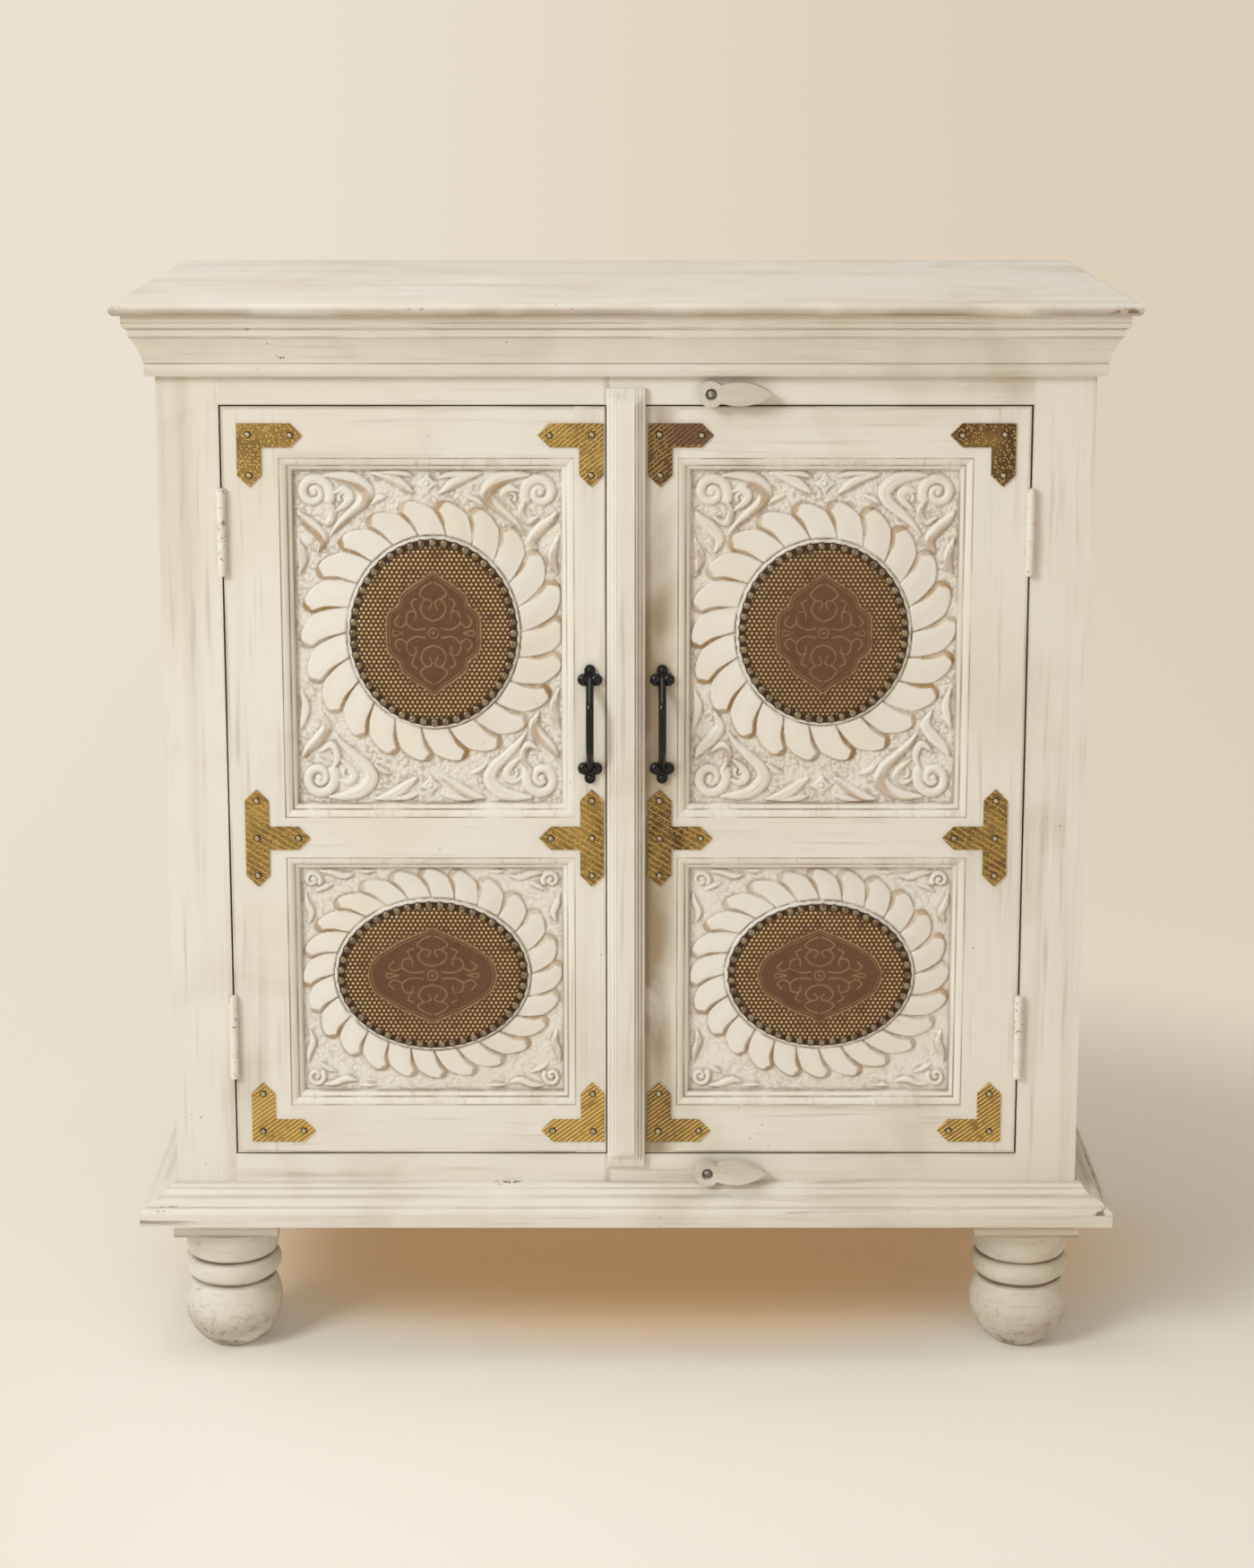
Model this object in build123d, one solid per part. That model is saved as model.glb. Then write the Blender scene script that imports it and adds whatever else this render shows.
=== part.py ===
from build123d import *
from math import cos, hypot, pi, sin
import os

os.makedirs("parts", exist_ok=True)

# A two-door carved cabinet on turned feet. Millimetres, +Z up, front towards -Y.
# The origin is on the floor, under the middle of the top board.

# ---------- driving sizes ----------

# top board
top_width = 900.0
top_depth = 450.0
top_thickness = 11.0
top_overhang = 34.0          # past the carcass at the front and sides
top_overhang_rear = 12.0
top_nose_radius = 5.0

# carcass
carcass_height = 839.5       # foot pads to the underside of the top board
side_thickness = 20.0
back_thickness = 10.0
face_stile_width = 55.25
face_rail_top_width = 81.5
face_rail_bottom_width = 59.5
bottom_board_thickness = 20.0
bottom_board_lip = 7.0       # stands up past the bottom rail as a stop for the doors
stop_batten_lip = 6.0        # hangs below the top rail as a stop for the doors
stop_batten_width = 26.0
stop_batten_thickness = 15.0
shelf_height = 508.0         # floor to the top of the shelf
shelf_thickness = 16.0
shelf_setback = 6.0
cleat_section = 20.0
corner_block_size = 60.0

# crown moulding, measured out from the carcass and up from its lower edge
crown_height = 55.5
crown_projection = 25.0
crown_bead_out = 8.5
crown_bead_height = 11.0
crown_cove_out = 18.5
crown_cove_height = 35.5
crown_band_out = 20.5
crown_band_height = 43.0
crown_lip_height = 49.5
crown_bulge = 1.1

# base moulding
base_height = 33.0
base_projection = 31.0
base_plinth_height = 11.5
base_nose_radius = 5.0
base_ovolo_out = 16.5
base_ovolo_height = 23.5
base_cove_out = 8.5
base_cove_height = 29.0
base_bead_out = 2.5
base_bulge = 1.3
quirk = 0.9                  # small square step between two mouldings

# feet
foot_height = 119.0
foot_inset_side = 44.0       # carcass side to the middle of the foot
foot_inset_front = 43.0
foot_inset_rear = 50.0
pad_size = 96.0
pad_thickness = 20.5
ball_radius = 46.0
ball_centre_height = 40.0
ball_top_height = 64.5
neck_radius = 35.5
ring_radius = 45.5
ring_top_radius = 40.5
ring_top_height = 88.5
drum_bottom_radius = 41.5
drum_top_radius = 45.0
drum_bottom_height = 90.5
drum_bulge = 1.2
foot_groove_depth = 2.0
tenon_radius = 12.0
tenon_length = 48.0
tenon_clearance = 0.1

# doors
door_thickness = 24.0
door_gap = 1.5
stop_clearance = 0.5
meeting_gap = 0.9
meeting_bevel = 1.2          # the meeting edges lean back so that each door swings clear
door_edge_radius = 1.0
door_stile_outer_width = 50.25
door_panel_inset = 46.0      # middle of the cabinet to the opening for the panels
door_rail_top_width = 46.0
door_rail_middle_width = 37.0
door_rail_bottom_width = 45.5
lower_opening_height = 237.0

# door panels
panel_depth = 11.0           # door face to the ground of the panel
panel_thickness = 8.0
panel_tongue = 7.0
groove_clearance = 0.5
plateau_height = 4.0
plateau_margin = 4.0
panel_moulding_width = 12.0
panel_moulding_setback = 0.8
panel_moulding_inner_height = 3.0
panel_moulding_step_out = 7.3
panel_moulding_step_height = 6.4
panel_moulding_bulge = 0.7

# brass medallions: (width, height, place across the panel) of each beaten oval;
# the place is from the panel's middle towards the hinges
medallions = {
    "left_upper": (150.0, 171.0, -4.5),
    "right_upper": (152.0, 165.0, 0.0),
    "left_lower": (174.0, 139.0, 0.0),
    "right_lower": (168.0, 135.0, 0.0),
}
medallion_thickness = 1.2
medallion_field_inset = 9.0
medallion_field_height = 1.2
medallion_rise = 5.0         # sits this far above the middle of its panel
tack_pitch = 10.1
tack_head_radius = 4.1
tack_head_height = 2.3
tack_shank_radius = 0.8
tack_shank_length = 7.0
tack_edge_overhang = 1.0

# brackets
bracket_width = 21.3
bracket_thickness = 1.5
bracket_l_length = 58.0
bracket_l_height = 57.0
bracket_t_length = 58.5
bracket_t_height = 91.0
bracket_point = 10.5
bracket_inset_outer = 14.0
bracket_inset_inner = 2.2
bracket_inset_top = 15.0
bracket_inset_bottom = 11.0
nail_inset = 10.0
nail_head_radius = 3.3
nail_head_height = 2.0
nail_shank_radius = 1.1
nail_shank_length = 9.0

# closing strip on the right door
strip_width = 34.6
strip_thickness = 12.0
strip_flat_width = 15.7
strip_edge_thickness = 3.2
strip_ogee_height = 9.4
strip_bulge = 0.6
strip_lap_top = 15.0
strip_lap_bottom = 11.0

# handles
handle_offset = 32.5         # middle of the cabinet to the handle
handle_gap = 6.2             # tee bracket to the pull above it
handle_lobe_spacing = 82.0
handle_bar_radius = 3.6
handle_reach = 22.0
handle_bend_radius = 11.0
handle_plate_thickness = 3.5
lobe_radius = 5.4
lobe_offset = 5.7
end_lobe_radius = 5.0
end_lobe_offset = 8.8
screw_head_radius = 3.0
screw_head_height = 1.6
screw_shank_radius = 1.5
screw_shank_length = 18.0

# hinges
hinge_length = 76.0
hinge_inset = 112.5          # door end to the middle of the hinge
hinge_proud = 3.0            # pin axis in front of the door face
barrel_radius = 4.0
barrel_clearance = 0.3
hinge_pin_radius = 2.0
hinge_bore_clearance = 0.05
pin_cap_radius = 3.4
pin_cap_height = 1.5
leaf_thickness = 1.5
leaf_depth = 20.0
leaf_clearance = 0.05
knuckle_count = 5
knuckle_gap = 0.2

# turn-button latches
latch_offset = 75.0          # middle of the cabinet to the pivot
latch_top_rise = 10.8        # pivot above the door opening
latch_bottom_drop = 14.5     # pivot below the door opening
latch_hub_radius = 11.5
latch_length = 54.0
latch_leaf_width = 20.0
latch_neck_width = 15.0
latch_thickness = 10.0
latch_standoff = 4.5
latch_boss_radius = 7.0
latch_face_clearance = 0.2
latch_recess_radius = 5.4
latch_recess_depth = 3.2
latch_screw_radius = 2.0
latch_screw_length = 20.0
latch_bore_clearance = 0.05
latch_head_radius = 4.6
latch_head_height = 2.6

# how the solids are cut
overshoot = 1.0              # a cutting tool runs this far past the surface it opens
oval_steps = 720             # lengths measured round an oval to space its tacks
same_place = 0.01            # coordinates this close are taken as equal

# ---------- places worked out from the sizes ----------

carcass_half = top_width / 2 - top_overhang
face_y = -top_depth / 2 + top_overhang
back_y = top_depth / 2 - top_overhang_rear
base_z = foot_height + pad_thickness
top_z = base_z + carcass_height
side_inner = carcass_half - side_thickness
back_inner = back_y - back_thickness

opening_half = carcass_half - face_stile_width
opening_bottom = base_z + face_rail_bottom_width
opening_top = top_z - face_rail_top_width

frame_thickness = door_thickness + stop_clearance
frame_back = face_y + frame_thickness
door_back = face_y + door_thickness
door_outer = opening_half - door_gap
door_bottom = opening_bottom + door_gap
door_top = opening_top - door_gap
panel_outer = door_outer - door_stile_outer_width
panel_inner = door_panel_inset
strip_half = strip_width / 2

lower_open = (
    door_bottom + door_rail_bottom_width,
    door_bottom + door_rail_bottom_width + lower_opening_height,
)
upper_open = (lower_open[1] + door_rail_middle_width, door_top - door_rail_top_width)
panel_middle = (panel_inner + panel_outer) / 2
panel_front = face_y + panel_depth
panel_back = panel_front + panel_thickness
plateau_front = panel_front - plateau_height

tee_height = (lower_open[1] + upper_open[0]) / 2
handle_half = handle_lobe_spacing / 2 + end_lobe_offset + end_lobe_radius
handle_height = tee_height + bracket_t_height / 2 + handle_gap + handle_half

hinge_x = opening_half - door_gap / 2
hinge_y = face_y - hinge_proud
hinge_heights = (door_bottom + hinge_inset, door_top - hinge_inset)

bottom_board_top = opening_bottom + bottom_board_lip
bottom_board_bottom = bottom_board_top - bottom_board_thickness
shelf_bottom = shelf_height - shelf_thickness
shelf_front = frame_back + shelf_setback

foot_x = carcass_half - foot_inset_side
foot_front_y = face_y + foot_inset_front
foot_rear_y = back_y - foot_inset_rear

latch_places = {
    "top": opening_top + latch_top_rise,
    "bottom": opening_bottom - latch_bottom_drop,
}
latch_back = face_y - latch_face_clearance
latch_front = latch_back - latch_standoff - latch_thickness

# the two doors as (name, side, inner edge, inner bracket edge), measured to that side
doors = (
    ("left", -1, strip_half + meeting_gap, strip_half + meeting_gap + bracket_inset_inner),
    ("right", 1, -strip_half, strip_half + bracket_inset_inner),
)


# ---------- shapes that repeat ----------

def save(node, *pieces):
    """Write a node that holds every solid of the given pieces."""
    solids = [solid for piece in pieces for solid in piece.solids()]
    shape = solids[0] if len(solids) == 1 else Compound(solids)
    export_step(shape, f"parts/{node}.step")


def board(x, y, z):
    """A square-edged board that fills three (low, high) spans."""
    size = (x[1] - x[0], y[1] - y[0], z[1] - z[0])
    return Pos(x[0], y[0], z[0]) * Box(*size, align=(Align.MIN, Align.MIN, Align.MIN))


def outline(points):
    """A closed face through (x, y, sagitta) points. A sagitta bows the line that ends there,
    outwards where the points run anticlockwise."""
    edges = []
    for (x0, y0, _), (x1, y1, sagitta) in zip(points[-1:] + points[:-1], points):
        if sagitta:
            edges.append(SagittaArc((x0, y0), (x1, y1), -sagitta))
        else:
            edges.append(Line((x0, y0), (x1, y1)))
    return make_face(edges)


def plan_prism(points, z):
    """A prism that stands on plan points (x, y) and fills a (low, high) span in z."""
    face = make_face(Polyline(*points, close=True))
    return extrude(Pos(0, 0, z[0]) * face, amount=z[1] - z[0])


def rod(radius, front, back, x, z):
    """A round rod along Y between two depths."""
    facing = Plane(origin=(x, front, z), x_dir=(1, 0, 0), z_dir=(0, 1, 0))
    return extrude(facing * Circle(radius), amount=back - front)


def stud(head_radius, head_height, shank_radius, shank_length):
    """A round-headed nail or screw at the origin: its head forward of y = 0, its shank behind."""
    ball = (head_radius ** 2 + head_height ** 2) / (2 * head_height)
    rise = ball - (ball ** 2 - hypot(head_radius, head_height) ** 2 / 4) ** 0.5
    half = outline([
        (0, -head_height, 0),
        (head_radius, 0, rise),
        (shank_radius, 0, 0),
        (shank_radius, shank_length, 0),
        (0, shank_length, 0),
    ])
    return revolve(half, axis=Axis.Y)


def eased(piece, direction, radius, x=None, y=None, z=None):
    """Round the edges along a direction whose middle lies at the given coordinates."""
    def chosen(edge):
        middle = edge.center()
        wanted = ((x, middle.X), (y, middle.Y), (z, middle.Z))
        return all(want is None or abs(want - have) < same_place for want, have in wanted)

    edges = piece.edges().filter_by(direction).filter_by(chosen)
    return fillet(edges, radius) if edges else piece


def front_run(profile, z_low, reach):
    """A moulding across the front, mitred at both ends. The profile is (out, up)."""
    facing = Plane(origin=(0, face_y, z_low), x_dir=(0, -1, 0), z_dir=(-1, 0, 0))
    span = carcass_half + reach
    run = extrude(facing * profile, amount=span, both=True)
    height = profile.bounding_box().size.Y
    mitres = plan_prism(
        [
            (-carcass_half, face_y),
            (carcass_half, face_y),
            (span, face_y - reach),
            (-span, face_y - reach),
        ],
        (z_low, z_low + height),
    )
    return run & mitres


def side_run(profile, z_low, reach):
    """The same moulding along the right side, mitred at the front and square at the back."""
    facing = Plane(origin=(carcass_half, back_y, z_low), x_dir=(1, 0, 0), z_dir=(0, -1, 0))
    run = extrude(facing * profile, amount=back_y - face_y + reach)
    height = profile.bounding_box().size.Y
    far = carcass_half + reach
    mitre = plan_prism(
        [(carcass_half, face_y), (far, face_y - reach), (far, back_y), (carcass_half, back_y)],
        (z_low, z_low + height),
    )
    return run & mitre


def mirrored(piece):
    """The same piece on the other side of the cabinet."""
    return mirror(piece, about=Plane.YZ)


# ---------- carcass ----------

def make_top_board():
    top = board(
        (-top_width / 2, top_width / 2),
        (-top_depth / 2, top_depth / 2),
        (top_z, top_z + top_thickness),
    )
    level = top.edges().filter_by(Axis.Z, reverse=True)
    nosed = level.filter_by(lambda edge: edge.center().Y < top_depth / 4)
    save("top_board", fillet(nosed, top_nose_radius))


def crown_profile():
    return outline([
        (0, 0, 0),
        (crown_bead_out - crown_bulge, 0, 0),
        (crown_bead_out - crown_bulge, crown_bead_height, crown_bulge),
        (crown_bead_out, crown_bead_height + quirk, 0),
        (crown_cove_out, crown_cove_height, -crown_bulge),
        (crown_cove_out + quirk, crown_cove_height, 0),
        (crown_band_out, crown_band_height, 0),
        (crown_band_out + quirk, crown_band_height, 0),
        (crown_projection, crown_lip_height, crown_bulge),
        (crown_projection, crown_height, 0),
        (0, crown_height, 0),
    ])


def base_profile():
    nose_in = base_projection - base_nose_radius
    nose_top = base_plinth_height + base_nose_radius
    nose_sagitta = base_nose_radius * (1 - 0.5 ** 0.5)
    return outline([
        (0, 0, 0),
        (base_projection, 0, 0),
        (base_projection, base_plinth_height, 0),
        (nose_in, nose_top, nose_sagitta),
        (nose_in - quirk, nose_top, 0),
        (nose_in - quirk, nose_top + quirk, 0),
        (base_ovolo_out, base_ovolo_height, base_bulge),
        (base_ovolo_out - quirk, base_ovolo_height, 0),
        (base_cove_out, base_cove_height, -base_bulge),
        (base_cove_out - quirk, base_cove_height, 0),
        (base_bead_out, base_height, base_bulge),
        (0, base_height, 0),
    ])


def make_mouldings():
    crown = crown_profile()
    crown_z = top_z - crown_height
    save("crown_front", front_run(crown, crown_z, crown_projection))
    crown_side = side_run(crown, crown_z, crown_projection)
    save("crown_sides", crown_side, mirrored(crown_side))
    base = base_profile()
    save("base_front", front_run(base, base_z, base_projection))
    base_side = side_run(base, base_z, base_projection)
    save("base_sides", base_side, mirrored(base_side))


def hinge_cuts():
    """Room for the right-hand hinges: the barrels and both mortised leaves."""
    cuts = []
    for height in hinge_heights:
        low = height - hinge_length / 2
        barrel_room = Cylinder(
            barrel_radius + barrel_clearance,
            hinge_length + 2 * (pin_cap_height + barrel_clearance),
        )
        cuts.append(Pos(hinge_x, hinge_y, height) * barrel_room)
        leaves = board(
            (hinge_x - leaf_clearance - leaf_thickness, hinge_x + leaf_clearance + leaf_thickness),
            (hinge_y, hinge_y + leaf_depth),
            (low, low + hinge_length),
        )
        cuts.append(leaves)
    return cuts


def make_face_frame():
    stile = board((opening_half, carcass_half), (face_y, frame_back), (base_z, top_z))
    for cut in hinge_cuts():
        stile -= cut
    save("face_stile_right", stile)
    save("face_stile_left", mirrored(stile))
    across = (-opening_half, opening_half)
    save("face_rail_top", board(across, (face_y, frame_back), (opening_top, top_z)))
    save("face_rail_bottom", board(across, (face_y, frame_back), (base_z, opening_bottom)))


def make_carcass():
    across = (-side_inner, side_inner)
    side = board((side_inner, carcass_half), (frame_back, back_y), (base_z, top_z))
    save("side_panel_right", side)
    save("side_panel_left", mirrored(side))
    save("back_panel", board(across, (back_inner, back_y), (base_z, top_z)))
    inside = (frame_back, back_inner)
    save("bottom_board", board(across, inside, (bottom_board_bottom, bottom_board_top)))
    batten_low = opening_top - stop_batten_lip
    save("door_stop_batten", board(
        across,
        (frame_back, frame_back + stop_batten_thickness),
        (batten_low, batten_low + stop_batten_width),
    ))
    shelf_span = (shelf_front, back_inner)
    save("shelf", board(across, shelf_span, (shelf_bottom, shelf_height)))
    cleat = board(
        (side_inner - cleat_section, side_inner),
        shelf_span,
        (shelf_bottom - cleat_section, shelf_bottom),
    )
    save("shelf_cleats", cleat, mirrored(cleat))


def foot_profile():
    """Half of the turned foot, as (radius, height), with its tenon."""
    floor_radius = (ball_radius ** 2 - ball_centre_height ** 2) ** 0.5
    ball_top_rise = ball_top_height - ball_centre_height
    ball_top_radius = (ball_radius ** 2 - ball_top_rise ** 2) ** 0.5
    chord = hypot(ball_top_radius - floor_radius, ball_top_height)
    ball_sagitta = ball_radius - (ball_radius ** 2 - chord ** 2 / 4) ** 0.5
    ring_bottom_height = ball_top_height + foot_groove_depth
    ring_chord = hypot(ring_top_radius - neck_radius, ring_top_height - ring_bottom_height)
    ring_sagitta = ring_radius - (ring_top_radius + neck_radius) / 2
    if ring_sagitta > ring_chord / 2:
        ring_sagitta = ring_chord / 2
    groove_radius = ring_top_radius - foot_groove_depth
    return outline([
        (0, 0, 0),
        (floor_radius, 0, 0),
        (ball_top_radius, ball_top_height, ball_sagitta),
        (neck_radius, ball_top_height, 0),
        (neck_radius, ring_bottom_height, 0),
        (ring_top_radius, ring_top_height, ring_sagitta),
        (groove_radius, ring_top_height, 0),
        (groove_radius, drum_bottom_height, 0),
        (drum_bottom_radius, drum_bottom_height, 0),
        (drum_top_radius, foot_height, drum_bulge),
        (tenon_radius, foot_height, 0),
        (tenon_radius, foot_height + tenon_length, 0),
        (0, foot_height + tenon_length, 0),
    ])


def make_feet():
    foot = revolve(Plane.XZ * foot_profile(), axis=Axis.Z)
    tenon_hole = Cylinder(
        tenon_radius + tenon_clearance,
        tenon_length + tenon_clearance,
        align=(Align.CENTER, Align.CENTER, Align.MIN),
    )
    block_x = (side_inner - corner_block_size, side_inner)
    block_z = (base_z, bottom_board_bottom)
    rows = {
        "front": (foot_front_y, (frame_back, frame_back + corner_block_size)),
        "rear": (foot_rear_y, (back_inner - corner_block_size, back_inner)),
    }
    pads = []
    blocks = []
    for row, (foot_y, block_y) in rows.items():
        place = Pos(foot_x, foot_y, 0)
        save(f"foot_{row}_right", place * foot)
        save(f"foot_{row}_left", mirrored(place * foot))
        hole = Pos(foot_x, foot_y, foot_height) * tenon_hole
        pad_middle = Pos(foot_x, foot_y, foot_height + pad_thickness / 2)
        pad = pad_middle * Box(pad_size, pad_size, pad_thickness)
        block = board(block_x, block_y, block_z)
        for piece, group in ((pad - hole, pads), (block - hole, blocks)):
            group += [piece, mirrored(piece)]
    save("foot_pads", *pads)
    save("corner_blocks", *blocks)


# ---------- hinges ----------

def hinge_leaf(height, toward_door):
    """One leaf of a right-hand hinge; the odd knuckles are on the frame, the even on the door."""
    low = height - hinge_length / 2
    pitch = (hinge_length + knuckle_gap) / knuckle_count
    side = -1 if toward_door else 1
    spans = sorted((side * leaf_clearance, side * (leaf_clearance + leaf_thickness)))
    across = (hinge_x + spans[0], hinge_x + spans[1])
    clear = hinge_y + barrel_radius + barrel_clearance
    leaf = board(across, (clear, hinge_y + leaf_depth), (low, low + hinge_length))
    for index in range(1 if toward_door else 0, knuckle_count, 2):
        bottom = low + index * pitch
        length = pitch - knuckle_gap
        leaf += Pos(hinge_x, hinge_y, bottom + length / 2) * Cylinder(barrel_radius, length)
        leaf += board(across, (hinge_y, clear), (bottom, bottom + length))
    bore = Cylinder(hinge_pin_radius + hinge_bore_clearance, hinge_length * 2)
    return leaf - Pos(hinge_x, hinge_y, height) * bore


def make_frame_hinges():
    leaves = []
    pins = []
    for height in hinge_heights:
        leaf = hinge_leaf(height, toward_door=False)
        pin = Pos(hinge_x, hinge_y, height) * Cylinder(hinge_pin_radius, hinge_length)
        cap = Cylinder(pin_cap_radius, pin_cap_height)
        for end in (-1, 1):
            pin += Pos(hinge_x, hinge_y, height + end * (hinge_length + pin_cap_height) / 2) * cap
        leaves += [leaf, mirrored(leaf)]
        pins += [pin, mirrored(pin)]
    save("hinge_frame_leaves", *leaves)
    save("hinge_pins", *pins)


# ---------- latches ----------

def make_latches():
    """Leaf-shaped turn buttons, at rest clear of the doors and pointing to the right."""
    screws = []
    half_leaf = latch_leaf_width / 2
    half_neck = latch_neck_width / 2
    neck_x = (latch_hub_radius ** 2 - half_neck ** 2) ** 0.5
    belly_x = (neck_x + latch_length) / 2
    belly = half_leaf - half_neck / 2
    for row, height in latch_places.items():
        facing = Plane(
            origin=(latch_offset, latch_back, height),
            x_dir=(1, 0, 0),
            z_dir=(0, -1, 0),
        )
        upper = [Line((0, half_neck / 2), (neck_x, half_neck)),
                 ThreePointArc((neck_x, half_neck), (belly_x, half_leaf), (latch_length, 0))]
        lower = [ThreePointArc((latch_length, 0), (belly_x, -half_leaf), (neck_x, -half_neck)),
                 Line((neck_x, -half_neck), (0, -half_neck / 2)),
                 Line((0, -half_neck / 2), (0, half_neck / 2))]
        blade_face = facing.offset(latch_standoff) * make_face(upper + lower)
        blade = extrude(blade_face, amount=latch_thickness)
        hub = rod(latch_hub_radius, latch_front, latch_back - latch_standoff, latch_offset, height)
        boss = rod(latch_boss_radius, latch_front, latch_back, latch_offset, height)
        button = blade + hub + boss
        before = latch_front - overshoot
        bore = latch_screw_radius + latch_bore_clearance
        button -= rod(bore, before, latch_back + overshoot, latch_offset, height)
        recess_floor = latch_front + latch_recess_depth
        button -= rod(latch_recess_radius, before, recess_floor, latch_offset, height)
        save(f"latch_button_{row}", button)
        head_back = recess_floor - latch_face_clearance
        shank_length = face_y + latch_screw_length - head_back
        screw = stud(latch_head_radius, latch_head_height, latch_screw_radius, shank_length)
        screws.append(Pos(latch_offset, head_back, height) * screw)
    save("latch_screws", *screws)


# ---------- doors ----------

def door_stile(edge_in, edge_out, bevel):
    """A stile between two distances from the middle of the cabinet; a bevel leans its inner edge."""
    stile = plan_prism(
        [(edge_in, face_y), (edge_out, face_y), (edge_out, door_back), (edge_in + bevel, door_back)],
        (door_bottom, door_top),
    )
    return eased(stile, Axis.Z, door_edge_radius, x=edge_out if not bevel else edge_in, y=face_y)


def panel_grooves(open_z):
    """The groove that a panel's tongue slides in, all round its opening."""
    reach = panel_tongue + groove_clearance
    return board(
        (panel_inner - reach, panel_outer + reach),
        (panel_front, panel_back),
        (open_z[0] - reach, open_z[1] + reach),
    )


def door_frame(edge_in):
    """The five members of a right-hand door frame, by name."""
    tongues = (panel_front, panel_back)
    members = {
        "stile_outer": door_stile(panel_outer, door_outer, 0),
        "stile_inner": door_stile(edge_in, panel_inner, meeting_bevel),
    }
    rails = {
        "rail_bottom": (door_bottom, lower_open[0]),
        "rail_middle": (lower_open[1], upper_open[0]),
        "rail_top": (upper_open[1], door_top),
    }
    for name, height in rails.items():
        rail = board((panel_inner, panel_outer), (face_y, door_back), height)
        if name != "rail_middle":
            edge = door_top if name == "rail_top" else door_bottom
            rail = eased(rail, Axis.X, door_edge_radius, y=face_y, z=edge)
        rail += board((panel_inner - panel_tongue, panel_outer + panel_tongue), tongues, height)
        members[name] = rail
    for name, rail in members.items():
        if name.startswith("rail"):
            members[name] = rail - panel_grooves(lower_open) - panel_grooves(upper_open)
            continue
        reach = panel_tongue + groove_clearance
        slot = board((panel_inner - reach, panel_outer + reach), tongues, (door_bottom, door_top))
        members[name] = rail - slot
    for cut in hinge_cuts():
        members["stile_outer"] -= cut
    return members


def door_panel(open_z, width, height, across):
    """A panel with its tongue and the oval plateau that carries the medallion."""
    low, high = open_z
    panel = board(
        (panel_inner - panel_tongue, panel_outer + panel_tongue),
        (panel_front, panel_back),
        (low - panel_tongue, high + panel_tongue),
    )
    plateau = Ellipse(width / 2 + plateau_margin, height / 2 + plateau_margin)
    return panel + extrude(oval_facing(open_z, across, panel_front) * plateau, amount=plateau_height)


def oval_facing(open_z, across, depth):
    """The plane of a panel's oval at a depth, looking out of the front."""
    middle = (open_z[0] + open_z[1]) / 2 + medallion_rise
    return Plane(origin=(panel_middle + across, depth, middle), x_dir=(1, 0, 0), z_dir=(0, -1, 0))


def panel_moulding(open_z):
    """Four mitred lengths that frame a panel. The profile is (in from the frame, up from the panel)."""
    outer_height = panel_depth - panel_moulding_setback
    profile = outline([
        (0, 0, 0),
        (0, outer_height, 0),
        (quirk, outer_height, 0),
        (panel_moulding_step_out, panel_moulding_step_height + quirk, -panel_moulding_bulge),
        (panel_moulding_step_out, panel_moulding_step_height, 0),
        (panel_moulding_width, panel_moulding_inner_height, -panel_moulding_bulge),
        (panel_moulding_width, 0, 0),
    ])
    low, high = open_z
    middle_z = (low + high) / 2
    half_x = (panel_outer - panel_inner) / 2
    half_z = (high - low) / 2
    pieces = []
    for half_run, half_span, turns in ((half_x, half_z, (0, 180)), (half_z, half_x, (90, 270))):
        facing = Plane(origin=(0, panel_front, -half_span), x_dir=(0, 0, 1), z_dir=(1, 0, 0))
        run = extrude(facing * profile, amount=half_run, both=True)
        mitre_face = make_face(Polyline(
            (-half_run, -half_span),
            (half_run, -half_span),
            (half_run - panel_moulding_width, panel_moulding_width - half_span),
            (panel_moulding_width - half_run, panel_moulding_width - half_span),
            close=True,
        ))
        flat = Plane(origin=(0, panel_front, 0), x_dir=(1, 0, 0), z_dir=(0, -1, 0))
        run &= extrude(flat * mitre_face, amount=panel_depth)
        for turn in turns:
            pieces.append(Pos(panel_middle, 0, middle_z) * (Rot(Y=turn) * run))
    return pieces


def oval_points(half_width, half_height, pitch):
    """Points evenly spaced along an oval, about one pitch apart, as (x, z)."""
    turns = [2 * pi * step / oval_steps for step in range(oval_steps + 1)]
    ring = [(half_width * cos(turn), half_height * sin(turn)) for turn in turns]
    lengths = [0.0]
    for (x0, z0), (x1, z1) in zip(ring, ring[1:]):
        lengths.append(lengths[-1] + hypot(x1 - x0, z1 - z0))
    count = round(lengths[-1] / pitch)
    points = []
    for index in range(count):
        wanted = lengths[-1] * index / count
        nearest = min(range(oval_steps), key=lambda i: abs(lengths[i] - wanted))
        points.append(ring[nearest])
    return points


def medallion(open_z, width, height, across):
    """A beaten brass oval with a raised field inside its ring of tacks."""
    plate = extrude(
        oval_facing(open_z, across, plateau_front) * Ellipse(width / 2, height / 2),
        amount=medallion_thickness,
    )
    field = Ellipse(width / 2 - medallion_field_inset, height / 2 - medallion_field_inset)
    return plate + extrude(
        oval_facing(open_z, across, plateau_front - medallion_thickness) * field,
        amount=medallion_field_height,
    )


def medallion_tacks(open_z, width, height, across):
    edge = tack_head_radius - tack_edge_overhang
    middle = (open_z[0] + open_z[1]) / 2 + medallion_rise
    tack = stud(tack_head_radius, tack_head_height, tack_shank_radius, tack_shank_length)
    front = plateau_front - medallion_thickness
    points = oval_points(width / 2 - edge, height / 2 - edge, tack_pitch)
    return [Pos(panel_middle + across + x, front, middle + z) * tack for x, z in points]


def pointed_arm(length, width, point):
    """A flat strap from the origin along +X with a pointed end."""
    half = width / 2
    return make_face(Polyline(
        (0, -half),
        (length - point, -half),
        (length, 0),
        (length - point, half),
        (0, half),
        close=True,
    ))


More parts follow.
